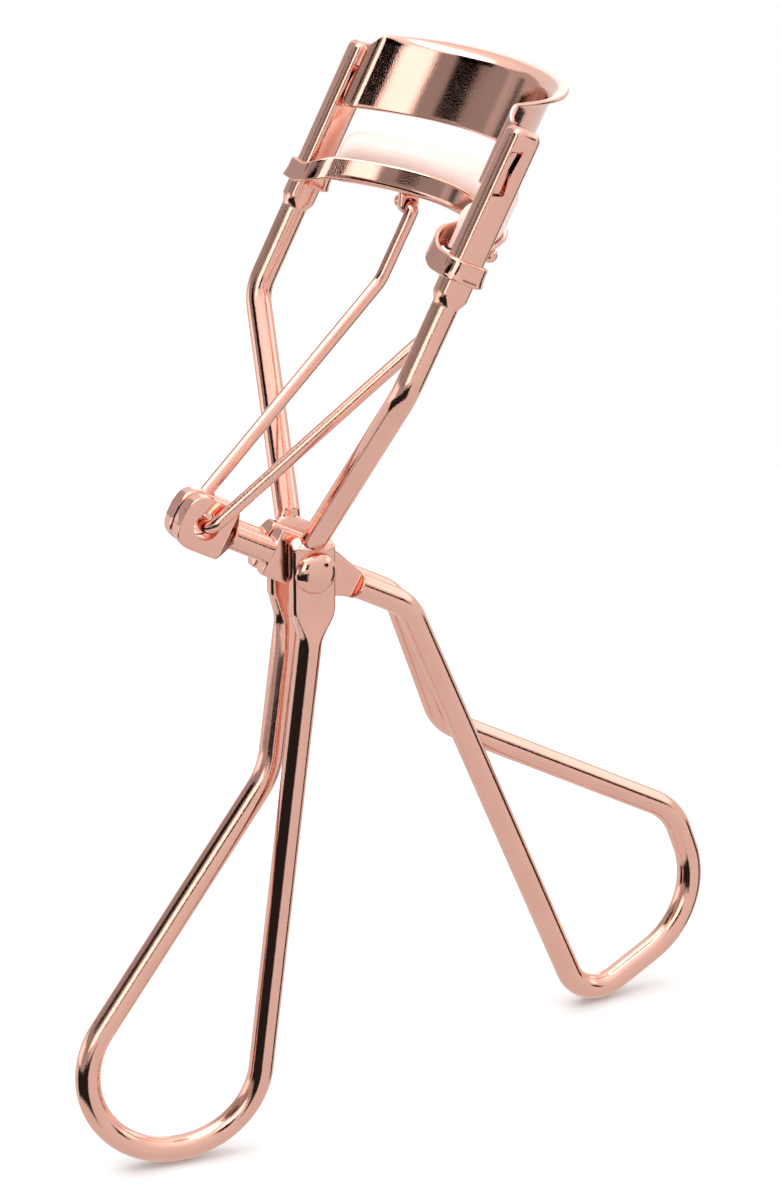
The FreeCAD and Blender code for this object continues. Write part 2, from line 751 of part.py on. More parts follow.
def make_pad():
    """The silicone pad: a strip that sits in the channel, with a round bulb along its top."""
    body = new_body("silicone_pad", jaw_place(size("channel_station") + size("sheet_thick")))
    inner = valued("Sizes.jaw_radius - Sizes.channel_width / 2 + Sizes.sheet_thick + Sizes.pad_fit / 2")
    outer = valued("Sizes.jaw_radius + Sizes.bulb_dia / 2")
    stem = valued("Sizes.channel_height - Sizes.sheet_thick + Sizes.pad_above - Sizes.bulb_dia / 2")
    strip = new_sketch(body, "strip_outline")
    draw_band(strip, inner, outer, valued("Sizes.pad_half_width"), valued(CENTRE))
    pad_along(body, "strip", strip, stem[1])

    bulb = new_sketch(body, "bulb_section", "YZ_Plane")
    lift = along_rail(stem[0])
    radius = size("bulb_dia") / 2
    axis_y = lift.y - arc_centre()
    section_y = axis_y + size("jaw_radius")
    lean_formula = "(Sizes.rail_tilt - Sizes.jaw_plane) * 1 deg"
    axis_formula = f"({stem[1]}) * sin({lean_formula}) - ({CENTRE})"
    axis = Part.LineSegment(Vector(axis_y, 0, 0), Vector(axis_y, lift.z, 0))
    bulb.addGeometry(axis, True)
    bulb.addGeometry(Part.Circle(Vector(section_y, lift.z, 0), Vector(0, 0, 1), radius))
    bulb.addConstraint([
        Sketcher.Constraint("Vertical", 0),
        Sketcher.Constraint("PointOnObject", 0, 1, -1),
    ])
    drive(bulb, Sketcher.Constraint("DistanceX", -1, 1, 0, 1, axis_y), "axis", axis_formula)
    drive(bulb, Sketcher.Constraint("DistanceY", 0, 1, 0, 2, lift.z), "rise",
          f"({stem[1]}) * cos({lean_formula})")
    arc = Sketcher.Constraint("DistanceX", 0, 2, 1, 3, size("jaw_radius"))
    drive(bulb, arc, "arc", "Sizes.jaw_radius")
    drive(bulb, Sketcher.Constraint("DistanceY", -1, 1, 1, 3, lift.z), "height",
          f"({stem[1]}) * cos({lean_formula})")
    drive(bulb, Sketcher.Constraint("Radius", 1, radius), "bulb", "Sizes.bulb_dia / 2")
    turned = body.newObject("PartDesign::Revolution", "bulb")
    turned.Profile = bulb
    turned.ReferenceAxis = (bulb, ["Axis0"])
    turned.Midplane = True
    turned.setExpression("Angle", f"2 * asin(Sizes.pad_half_width / ({outer[1]}))")
    bulb.Visibility = False
    return body


# ---------------------------------------------------------------- link and its lugs

def lug_point():
    """The pin joint under the channel, on the near side, seen from the rivet."""
    turn = Rotation(Vector(1, 0, 0), -size("jaw_plane"))
    place = Placement(rail_point(size("channel_station")), turn)
    middle = math.sqrt(size("jaw_radius") ** 2 - size("lug_x") ** 2) - arc_centre()
    return place.multVec(Vector(size("lug_x"), middle, -size("lug_drop")))


def make_lug(label, side):
    """A small lug under the channel with a bore for the link's pin."""
    pin = lug_point()
    thick = size("lug_thick")
    radius = size("lug_dia") / 2
    tip = Rotation(Vector(1, 0, 0), -size("jaw_plane"))
    body = new_body(label, rivet_place() * Placement(Vector(side * pin.x, pin.y, pin.z), tip))
    sketch = new_sketch(body, f"{label}_outline", "YZ_Plane")
    neck = size("lug_drop")
    sketch.addGeometry([
        Part.ArcOfCircle(Part.Circle(Vector(0, 0, 0), Vector(0, 0, 1), radius), math.pi, 2 * math.pi),
        Part.LineSegment(Vector(radius, 0, 0), Vector(radius, neck, 0)),
        Part.LineSegment(Vector(radius, neck, 0), Vector(-radius, neck, 0)),
        Part.LineSegment(Vector(-radius, neck, 0), Vector(-radius, 0, 0)),
        Part.Circle(Vector(0, 0, 0), Vector(0, 0, 1), size("pin_dia") / 2 + size("pin_fit")),
    ])
    sketch.addConstraint([
        Sketcher.Constraint("Coincident", 0, 3, -1, 1),
        Sketcher.Constraint("Coincident", 4, 3, -1, 1),
        Sketcher.Constraint("Coincident", 0, 2, 1, 1),
        Sketcher.Constraint("Coincident", 1, 2, 2, 1),
        Sketcher.Constraint("Coincident", 2, 2, 3, 1),
        Sketcher.Constraint("Coincident", 3, 2, 0, 1),
        Sketcher.Constraint("PointOnObject", 0, 1, -1),
        Sketcher.Constraint("PointOnObject", 0, 2, -1),
        Sketcher.Constraint("Vertical", 1),
        Sketcher.Constraint("Vertical", 3),
        Sketcher.Constraint("Horizontal", 2),
    ])
    drive(sketch, Sketcher.Constraint("Radius", 0, radius), "radius", "Sizes.lug_dia / 2")
    drive(sketch, Sketcher.Constraint("Radius", 4, size("pin_dia") / 2 + size("pin_fit")), "bore",
          "Sizes.pin_dia / 2 + Sizes.pin_fit")
    drive(sketch, Sketcher.Constraint("DistanceY", -1, 1, 1, 2, neck), "neck", "Sizes.lug_drop")
    pad = body.newObject("PartDesign::Pad", f"{label}_pad")
    pad.Profile = sketch
    pad.Midplane = True
    pad.Length = thick
    pad.setExpression("Length", "Sizes.lug_thick")
    sketch.Visibility = False
    return body


def link_points():
    """The link's path on the near side: from the lever's eyes up to the lug."""
    hook = lever_point(-size("lever_front"))
    outside = lever_eye_x() + size("flat_thick") / 2 + size("side_gap") + size("link_dia") / 2
    pin = lug_point()
    top_x = size("lug_x") - size("lug_thick") / 2 - size("side_gap") - size("link_dia") / 2
    return [
        Vector(0, hook.y, hook.z),
        Vector(outside, hook.y, hook.z),
        Vector(size("link_bend_x"), size("link_bend_y"), size("link_bend_z")),
        Vector(top_x, pin.y, pin.z),
    ]


def make_link_wire():
    """The link: a bent wire through the lever's eyes, with a headed pin at each upper end."""
    diameter = size("link_dia")
    points = link_points()
    radii = [diameter, size("link_bend_radius")]
    pin = lug_point()
    shapes = []
    for side in (1, -1):
        half = points if side > 0 else mirrored(points)
        shapes.append(round_wire(half, radii, diameter))
        top = half[-1]
        shapes.append(Part.makeSphere(diameter / 2, top))
        head = Vector(side * (pin.x + size("lug_thick") / 2 + size("side_gap") + size("ball_dia") / 2),
                      pin.y, pin.z)
        reach = abs(head.x - top.x)
        shapes.append(Part.makeCylinder(size("pin_dia") / 2, reach, top, Vector(side, 0, 0)))
        shapes.append(Part.makeSphere(size("ball_dia") / 2, head))
    return publish("link_wire", join(shapes), rivet_place())


# ---------------------------------------------------------------- checks and export

def check(parts):
    """Stop if any object failed or any part's shape is missing or unsound."""
    for item in DOCUMENT.Objects:
        bad = {"Invalid", "Error"} & set(item.State)
        if bad:
            raise RuntimeError(f"{item.Label}: {bad}")
    for part in parts:
        shape = part.Shape
        if shape.isNull() or not shape.isValid() or len(shape.Solids) != 1:
            raise RuntimeError(f"{part.Label}: not one sound solid")


def export(parts):
    """Write each part to its own file."""
    os.makedirs(NODES_FOLDER, exist_ok=True)
    for part in parts:
        shape = Part.getShape(part, "", needSubElement=False, transform=True)
        shape.exportStep(f"{NODES_FOLDER}/{part.Label}.step")


PARTS = [
    make_frame_wire(),
    make_upper_jaw(),
    make_rivet(),
    make_lever_wire(),
    make_lower_jaw(),
    make_pad(),
    make_lug("link_lug_near", 1),
    make_lug("link_lug_far", -1),
    make_link_wire(),
]
DOCUMENT.recompute()
check(PARTS)
export(PARTS)
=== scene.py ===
"""Eyelash curler: smooth wires, pressed jaws and a silicone pad, dressed and lit in a plain studio."""

import logging
import math
from dataclasses import dataclass, field
from enum import Enum

import bpy
import numpy as np
from mathutils import Matrix, Vector


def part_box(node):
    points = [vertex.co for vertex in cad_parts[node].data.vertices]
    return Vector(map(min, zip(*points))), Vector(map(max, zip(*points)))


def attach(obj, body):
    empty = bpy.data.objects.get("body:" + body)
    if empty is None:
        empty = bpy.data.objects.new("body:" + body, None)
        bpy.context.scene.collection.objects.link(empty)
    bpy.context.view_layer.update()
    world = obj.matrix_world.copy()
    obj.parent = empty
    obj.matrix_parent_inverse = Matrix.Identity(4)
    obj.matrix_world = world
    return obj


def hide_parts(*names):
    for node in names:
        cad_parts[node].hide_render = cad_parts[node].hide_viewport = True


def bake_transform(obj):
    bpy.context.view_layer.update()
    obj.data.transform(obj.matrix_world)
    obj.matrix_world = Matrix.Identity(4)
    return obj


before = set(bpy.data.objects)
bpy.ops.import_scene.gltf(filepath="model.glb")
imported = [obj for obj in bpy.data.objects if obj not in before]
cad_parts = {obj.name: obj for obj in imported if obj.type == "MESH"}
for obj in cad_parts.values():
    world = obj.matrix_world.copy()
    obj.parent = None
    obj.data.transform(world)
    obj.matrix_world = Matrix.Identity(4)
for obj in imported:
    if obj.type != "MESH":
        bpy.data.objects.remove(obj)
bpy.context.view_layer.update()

LOG = logging.getLogger("eyelash_curler")
MM = 0.001


class Body(Enum):
    """The bodies of the record that pieces ride on."""

    FRAME = "frame"
    LEVER = "lever"
    LOWER_JAW = "lower_jaw_body"
    LINK = "link"


class Slot(Enum):
    """The record's material slots."""

    PLATE = "rose_gold_plate"
    SILICONE = "silicone"


# ---------------------------------------------------------------- arithmetic on whole arrays


def unit(vectors: np.ndarray) -> np.ndarray:
    """Vectors of length one in the same directions."""
    return vectors / np.linalg.norm(vectors, axis=-1, keepdims=True)


def ease(low: float, high: float, values: np.ndarray) -> np.ndarray:
    """A smooth step: 0 at low, 1 at high, three times the square less twice the cube between."""
    share = np.clip((values - low) / (high - low), 0.0, 1.0)
    return share * share * (3.0 - 2.0 * share)


def signed_power(values: np.ndarray, power: np.ndarray) -> np.ndarray:
    """Each value's size raised to a power, with its sign kept."""
    return np.sign(values) * np.abs(values) ** power


@dataclass(frozen=True)
class Route:
    """A wire's middle line: straight runs joined by tangent arcs.

    Attributes:
        points: places along the line, in millimetres from the rivet.
        reach: the distance of each place from the line's start.
    """

    points: np.ndarray
    reach: np.ndarray

    @staticmethod
    def bent(corners: list[tuple[float, float, float]], radii: list[float]) -> "Route":
        """Round every inner corner of a chain of straight runs.

        The arc at a corner touches both runs; its centre lies on their bisector, one radius over
        the sine of the half angle away, and it is swept by cosine and sine from the first touch.

        Args:
            corners: the chain's corners.
            radii: one bend radius for each inner corner.

        Returns:
            The rounded route.
        """
        places = np.array(corners, float)
        pieces = [places[:1]]
        for index, radius in enumerate(radii, start=1):
            back = unit(places[index - 1] - places[index])
            ahead = unit(places[index + 1] - places[index])
            half = math.acos(float(np.clip(back @ ahead, -1, 1))) / 2
            touch = places[index] + back * radius / math.tan(half)
            centre = places[index] + unit(back + ahead) * radius / math.sin(half)
            angles = np.linspace(0.0, math.pi - 2 * half, 90)[:, None]
            pieces.append(centre + (touch - centre) * np.cos(angles) - back * radius * np.sin(angles))
        pieces.append(places[-1:])
        line = np.concatenate(pieces)
        steps = np.linalg.norm(np.diff(line, axis=0), axis=1)
        kept = np.concatenate([[True], steps > 1e-6])
        line = line[kept]
        steps = np.linalg.norm(np.diff(line, axis=0), axis=1)
        return Route(line, np.concatenate([[0.0], np.cumsum(steps)]))

    @property
    def length(self) -> float:
        """The whole length of the line."""
        return float(self.reach[-1])

    def at(self, distance: np.ndarray) -> np.ndarray:
        """Places at the given distances, coordinate by coordinate between the known places."""
        return np.stack([np.interp(distance, self.reach, self.points[:, axis]) for axis in range(3)], axis=-1)

    def way(self, distance: np.ndarray) -> np.ndarray:
        """Unit directions at the given distances, from the places a short step before and after."""
        step = 0.12
        before = np.clip(distance - step, 0.0, self.length)
        after = np.clip(distance + step, 0.0, self.length)
        return unit(self.at(after) - self.at(before))

    def nearest(self, place: tuple[float, float, float]) -> float:
        """The distance along the line at which it passes closest to a place."""
        distance = np.linspace(0.0, self.length, 12000)
        gaps = np.linalg.norm(self.at(distance) - np.array(place), axis=1)
        return float(distance[int(np.argmin(gaps))])

    def stations(self, spacing: float, fine: list[tuple[float, float]] = ()) -> np.ndarray:
        """Distances for the sections: an even spread, with closer ones in some stretches.

        Args:
            spacing: the even step.
            fine: stretches, each a start and an end, that get sections every 0.07 mm.

        Returns:
            The sorted distances, from the start to the end of the line.
        """
        spread = [np.linspace(0.0, self.length, int(self.length / spacing) + 2)]
        spread += [np.arange(max(low, 0.0), min(high, self.length), 0.07) for low, high in fine]
        distances = np.sort(np.concatenate(spread))
        return distances[np.concatenate([[True], np.diff(distances) > 0.02])]


@dataclass
class WireShape:
    """Half sizes of a wire's section at each station.

    Attributes:
        plus: half size towards +X.
        minus: half size towards -X.
        deep: half size square to X.
        power: 2 is an ellipse; more is a rectangle with rounded corners.
    """

    plus: np.ndarray
    minus: np.ndarray
    deep: np.ndarray
    power: np.ndarray

    @staticmethod
    def round(count: int, radius: float) -> "WireShape":
        """A plain round section at every station."""
        return WireShape(*(np.full(count, value) for value in (radius, radius, radius, 2.0)))

    def closed_ends(self, distances: np.ndarray, length: float, rounding: float) -> "WireShape":
        """Draw the section in at both ends, as a quarter ellipse of the given length."""
        gap = np.minimum(distances, length - distances)
        share = np.clip(1.0 - gap / rounding, 0.0, 1.0)
        factor = np.maximum(np.sqrt(1.0 - share ** 2), 0.12)
        factor = np.where(gap < rounding, 0.45 + 0.55 * factor, 1.0)
        factor = np.where(gap <= 1e-6, 0.3, factor)
        return WireShape(self.plus * factor, self.minus * factor, self.deep * factor, self.power)


X_AXIS = np.array([1.0, 0.0, 0.0])


def wire_grid(route: Route, distances: np.ndarray, shape: WireShape, columns: int = 56,
              lead: np.ndarray = X_AXIS) -> np.ndarray:
    """Carry a section along a route.

    A point at angle t of a section is the cosine and sine of t, each raised to two over the power
    with its sign kept, times the half sizes, along the leading direction made square to the route
    and along the direction square to both.

    Args:
        route: the middle line.
        distances: where the sections stand.
        shape: the sections' half sizes.
        columns: points round a section.
        lead: a direction that the route never runs along.

    Returns:
        A grid of points, sections by columns by three.
    """
    angle = np.linspace(0.0, 2.0 * math.pi, columns, endpoint=False)[None, :]
    power = 2.0 / shape.power[:, None]
    across = signed_power(np.cos(angle), power)
    deep = signed_power(np.sin(angle), power) * shape.deep[:, None]
    across = across * np.where(across > 0, shape.plus[:, None], shape.minus[:, None])
    way = route.way(distances)
    side = unit(lead - way * (way @ lead)[:, None])
    other = np.cross(way, side)
    return (route.at(distances)[:, None, :] + across[..., None] * side[:, None, :]
            + deep[..., None] * other[:, None, :])


def sheet_loops(middle: np.ndarray, half: float, rounding: int = 6) -> np.ndarray:
    """Give a sheet's middle curves their thickness, with a half-round edge at each end.

    Each curve is set off by half the thickness to either side along its normal, and its ends are
    closed by half circles swept by cosine and sine.

    Args:
        middle: curves, stations by points by two.
        half: half the thickness.
        rounding: points in each edge's half circle.

    Returns:
        Closed loops, stations by points by two.
    """
    way = unit(np.gradient(middle, axis=1))
    normal = np.stack([-way[..., 1], way[..., 0]], axis=-1)
    turn = np.linspace(0.0, math.pi, rounding + 2)[1:-1][None, :, None]
    far = middle[:, -1:] + half * (normal[:, -1:] * np.cos(turn) + way[:, -1:] * np.sin(turn))
    near = middle[:, :1] + half * (-normal[:, :1] * np.cos(turn) - way[:, :1] * np.sin(turn))
    return np.concatenate([middle + half * normal, far, (middle - half * normal)[:, ::-1], near], axis=1)


@dataclass
class Shell:
    """Grids gathered into one closed mesh.

    Attributes:
        name: the piece's name.
        origin: the rivet's middle in metres, added to every point.
    """

    name: str
    origin: np.ndarray
    points: list[np.ndarray] = field(default_factory=list)
    faces: list[list[int]] = field(default_factory=list)
    count: int = 0

    def add(self, grid: np.ndarray, ring: bool = False) -> None:
        """Add a grid that closes round its columns; its ends are capped, or joined as a ring.

        The face between two rows and two columns takes its four corners in turn, and the whole
        grid is turned round if its volume, the sum of corner triple products, is negative.

        Args:
            grid: rows by columns by three, in millimetres.
            ring: True if the last row joins the first one.
        """
        rows, columns = grid.shape[:2]
        numbers = np.arange(rows * columns).reshape(rows, columns)
        if ring:
            numbers = np.concatenate([numbers, numbers[:1]])
        following = np.roll(numbers, -1, axis=1)
        quads = np.stack([numbers[:-1], following[:-1], following[1:], numbers[1:]], axis=-1).reshape(-1, 4)
        flat = grid.reshape(-1, 3)
        corner = flat[quads] - flat.mean(axis=0)
        volume = np.einsum("ij,ij->i", corner[:, 0], np.cross(corner[:, 1], corner[:, 2])).sum()
        volume += np.einsum("ij,ij->i", corner[:, 0], np.cross(corner[:, 2], corner[:, 3])).sum()
        caps = [] if ring else [numbers[0][::-1], numbers[-1]]
        if volume < 0:
            quads = quads[:, ::-1]
            caps = [cap[::-1] for cap in caps]
        self.faces += (quads + self.count).tolist()
        self.faces += [(cap + self.count).tolist() for cap in caps]
        self.points.append(flat)
        self.count += rows * columns

    def build(self) -> bpy.types.Object:
        """Make the Blender object, its points in place."""
        mesh = bpy.data.meshes.new(self.name)
        places = np.concatenate(self.points) * MM + self.origin
        mesh.from_pydata(places.tolist(), [], self.faces)
        piece = bpy.data.objects.new(self.name, mesh)
        bpy.context.scene.collection.objects.link(piece)
        return piece


def shade(piece: bpy.types.Object, angle: float = 38.0) -> None:
    """Shade a piece smooth, with creases where faces meet at more than an angle in degrees."""
    mesh = piece.data
    mesh.polygons.foreach_set("use_smooth", np.ones(len(mesh.polygons), bool))
    mesh.set_sharp_from_angle(angle=math.radians(angle))
    mesh.update()


def cut(piece: bpy.types.Object, tools: list[bpy.types.Object]) -> None:
    """Cut tool shapes out of a piece for good, and throw the tools away."""
    for tool in tools:
        modifier = piece.modifiers.new("cut", "BOOLEAN")
        modifier.operation = "DIFFERENCE"
        modifier.solver = "EXACT"
        modifier.object = tool
    graph = bpy.context.evaluated_depsgraph_get()
    mesh = bpy.data.meshes.new_from_object(piece.evaluated_get(graph))
    piece.modifiers.clear()
    old = piece.data
    piece.data = mesh
    mesh.name = piece.name
    bpy.data.meshes.remove(old)
    for tool in tools:
        shape = tool.data
        bpy.data.objects.remove(tool)
        bpy.data.meshes.remove(shape)


# ---------------------------------------------------------------- shared places


@dataclass(frozen=True)
class Layout:
    """Sizes in millimetres that several pieces share; y and z count from the rivet."""

    wire: float = 1.15
    flat: float = 0.75
    sheet: float = 0.3
    bend: tuple[float, float] = (2.7, 19.6)
    rail_x: float = 15.5
    rail_tilt: float = math.radians(27.0)
    jaw_plane: float = math.radians(7.0)
    jaw_radius: float = 13.8
    jaw_back: float = 0.5
    jaw_half_width: float = 12.75
    jaw_station: float = 18.2
    channel_station: float = 11.7
    lever_angle: float = math.radians(29.0)
    lever_front: float = 10.6

    @property
    def rivet(self) -> np.ndarray:
        """The rivet's middle in metres, from the CAD node's box."""
        low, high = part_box("pivot_rivet")
        return (np.array(low) + np.array(high)) / 2

    @property
    def rail_way(self) -> np.ndarray:
        """The direction up the rails."""
        return np.array([0.0, math.sin(self.rail_tilt), math.cos(self.rail_tilt)])

    @property
    def jaw_way(self) -> np.ndarray:
        """The jaws' bulging direction, tipped a little below level."""
        return np.array([0.0, math.cos(self.jaw_plane), -math.sin(self.jaw_plane)])

    @property
    def arc_back(self) -> float:
        """How far the jaws' arc centre lies behind the rails' line."""
        return self.jaw_back + math.sqrt(self.jaw_radius ** 2 - self.jaw_half_width ** 2)

    def rail(self, station: float, x: float = 0.0) -> np.ndarray:
        """A point on the rails' line at a height up the rails."""
        return np.array([x, self.bend[0], self.bend[1]]) + self.rail_way * station

    def lever(self, distance: float, x: float = 0.0) -> np.ndarray:
        """A point on the lever's straight bar: negative towards the link."""
        return np.array([x, distance * math.cos(self.lever_angle), -distance * math.sin(self.lever_angle)])

    def jaw(self, station: float, x: np.ndarray, y: np.ndarray, height: np.ndarray) -> np.ndarray:
        """Points in a jaw: x across, y along the bulge, and a height up the rails' direction."""
        across = np.array([1.0, 0.0, 0.0])
        return (self.rail(station) + np.asarray(x)[..., None] * across
                + np.asarray(y)[..., None] * self.jaw_way + np.asarray(height)[..., None] * self.rail_way)


LAYOUT = Layout()


def prism(name: str, outline: np.ndarray, x_low: float, x_high: float) -> bpy.types.Object:
    """A cutting tool: an outline in the YZ plane carried along X."""
    ends = [np.concatenate([np.full((len(outline), 1), x), outline], axis=1) for x in (x_low, x_high)]
    tool = Shell(name, LAYOUT.rivet)
    tool.add(np.stack(ends))
    return tool.build()


def bore(name: str, radius: float, centre: np.ndarray, x_low: float, x_high: float) -> bpy.types.Object:
    """A round cutting tool along X, its outline a circle by cosine and sine."""
    turn = np.linspace(0.0, 2.0 * math.pi, 96, endpoint=False)
    outline = np.stack([centre[1] + radius * np.cos(turn), centre[2] + radius * np.sin(turn)], axis=1)
    return prism(name, outline, x_low, x_high)


# ---------------------------------------------------------------- finishes


def new_socket(group: bpy.types.NodeTree, name: str, way: str, kind: str, value: float | None = None) -> None:
    """Add one named input or output to a node group."""
    socket = group.interface.new_socket(name=name, in_out=way, socket_type=kind)
    if value is not None:
        socket.default_value = value


def surface_group() -> bpy.types.NodeTree:
    """The node group that every finish shares: cloudiness and fine grain.

    Returns:
        A group that puts out a cloud mask, a grain mask and a height.
    """
    group = bpy.data.node_groups.new("surface_detail", "ShaderNodeTree")
    for name, value in (("Cloud Scale", 200.0), ("Grain Scale", 5000.0), ("Grain Height", 0.5),
                        ("Cloud Height", 0.5)):
        new_socket(group, name, "INPUT", "NodeSocketFloat", value)
    for name in ("Cloud", "Grain", "Height"):
        new_socket(group, name, "OUTPUT", "NodeSocketFloat")
    nodes, links = group.nodes, group.links
    given, out = nodes.new("NodeGroupInput"), nodes.new("NodeGroupOutput")
    place = nodes.new("ShaderNodeTexCoord")
    masks = []
    for scale, detail in (("Cloud Scale", 3.0), ("Grain Scale", 2.0)):
        noise = nodes.new("ShaderNodeTexNoise")
        noise.inputs["Detail"].default_value = detail
        links.new(place.outputs["Object"], noise.inputs["Vector"])
        links.new(given.outputs[scale], noise.inputs["Scale"])
        masks.append(noise)
    heights = []
    for noise, amount in zip(masks, ("Cloud Height", "Grain Height")):
        times = nodes.new("ShaderNodeMath")
        times.operation = "MULTIPLY"
        links.new(noise.outputs["Fac"], times.inputs[0])
        links.new(given.outputs[amount], times.inputs[1])
        heights.append(times)
    total = nodes.new("ShaderNodeMath")
    links.new(heights[0].outputs[0], total.inputs[0])
    links.new(heights[1].outputs[0], total.inputs[1])
    links.new(masks[0].outputs["Fac"], out.inputs["Cloud"])
    links.new(masks[1].outputs["Fac"], out.inputs["Grain"])
    links.new(total.outputs[0], out.inputs["Height"])
    return group


@dataclass(frozen=True)
class Finish:
    """A finish: two close tones, a roughness range and its surface detail.

    Attributes:
        name: the material's name.
        slot: the record's slot it belongs to; not used.
        tone: the usual colour.
        shadow_tone: the colour of the cloudier places.
        smooth: the lowest roughness.
        rough: the highest roughness.
        metal: 1 for metal, 0 for anything else.
        cloud_scale: clouds per metre.
        grain_scale: grains per metre.
        cloud_height: how much the clouds raise the surface.
        grain_height: how much the grain raises the surface.
        bump: the bump's depth in metres.
    """

    name: str
    slot: Slot
    tone: tuple[float, float, float]
    shadow_tone: tuple[float, float, float]
    smooth: float
    rough: float
    metal: float
    cloud_scale: float
    grain_scale: float
    cloud_height: float
    grain_height: float
    bump: float
    soft: float = 0.0

    def material(self, group: bpy.types.NodeTree) -> bpy.types.Material:
        """Build the finish's material round the shared group.

        Args:
            group: the shared surface group.

        Returns:
            The material.
        """
        material = bpy.data.materials.new(self.name)
        material.use_nodes = True
        nodes, links = material.node_tree.nodes, material.node_tree.links
        shader = nodes["Principled BSDF"]
        shader.inputs["Metallic"].default_value = self.metal
        detail = nodes.new("ShaderNodeGroup")
        detail.node_tree = group
        detail.inputs["Cloud Scale"].default_value = self.cloud_scale
        detail.inputs["Grain Scale"].default_value = self.grain_scale
        detail.inputs["Cloud Height"].default_value = self.cloud_height
        detail.inputs["Grain Height"].default_value = self.grain_height
        mix = nodes.new("ShaderNodeMix")
        mix.data_type = "RGBA"
        mix.inputs["A"].default_value = (*self.shadow_tone, 1.0)
        mix.inputs["B"].default_value = (*self.tone, 1.0)
        links.new(detail.outputs["Cloud"], mix.inputs["Factor"])
        links.new(mix.outputs["Result"], shader.inputs["Base Color"])
        polish = nodes.new("ShaderNodeMapRange")
        polish.inputs["To Min"].default_value = self.smooth
        polish.inputs["To Max"].default_value = self.rough
        polish.inputs["From Min"].default_value = 0.3
        polish.inputs["From Max"].default_value = 0.7
        links.new(detail.outputs["Grain"], polish.inputs["Value"])
        links.new(polish.outputs["Result"], shader.inputs["Roughness"])
        bump = nodes.new("ShaderNodeBump")
        bump.inputs["Distance"].default_value = self.bump
        links.new(detail.outputs["Height"], bump.inputs["Height"])
        links.new(bump.outputs["Normal"], shader.inputs["Normal"])
        if self.soft > 0.0:
            shader.inputs["Subsurface Weight"].default_value = self.soft
            shader.inputs["Subsurface Radius"].default_value = (1.0, 0.45, 0.3)
            shader.inputs["Subsurface Scale"].default_value = 0.0012
            shader.inputs["Coat Weight"].default_value = 0.25
            shader.inputs["Coat Roughness"].default_value = 0.25
        return material


WIRE_PLATING = Finish("rose_gold_wire", Slot.PLATE, (0.93, 0.54, 0.44), (0.86, 0.47, 0.37), 0.03, 0.09, 1.0,
                      260.0, 9000.0, 0.30, 0.12, 0.00005)
SHEET_PLATING = Finish("rose_gold_sheet", Slot.PLATE, (0.92, 0.53, 0.43), (0.84, 0.46, 0.36), 0.01, 0.05, 1.0,
                       180.0, 9000.0, 0.30, 0.08, 0.00006)
PAD_SILICONE = Finish("pale_silicone", Slot.SILICONE, (0.95, 0.78, 0.72), (0.93, 0.73, 0.66), 0.38, 0.50, 0.0,
                      160.0, 6000.0, 0.2, 0.25, 0.00004, 0.35)


# ---------------------------------------------------------------- the pieces


@dataclass
class Piece:
    """What every piece shares: its body, its finish and the nodes it stands for."""

    name: str
    body: Body
    finish: Finish
    nodes: tuple[str, ...]

    def make(self) -> bpy.types.Object:
        """Build the piece's object; each kind of piece does this its own way."""
        raise NotImplementedError

    def dress(self, piece: bpy.types.Object, materials: dict[str, bpy.types.Material]) -> None:
        """Give the piece its material and tell the frame what it rides on and replaces."""
        piece.data.materials.clear()
        piece.data.materials.append(materials[self.finish.name])
        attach(piece, self.body.value)
        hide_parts(*self.nodes)
        LOG.info("%s: %d faces on %s", self.name, len(piece.data.polygons), self.body.value)


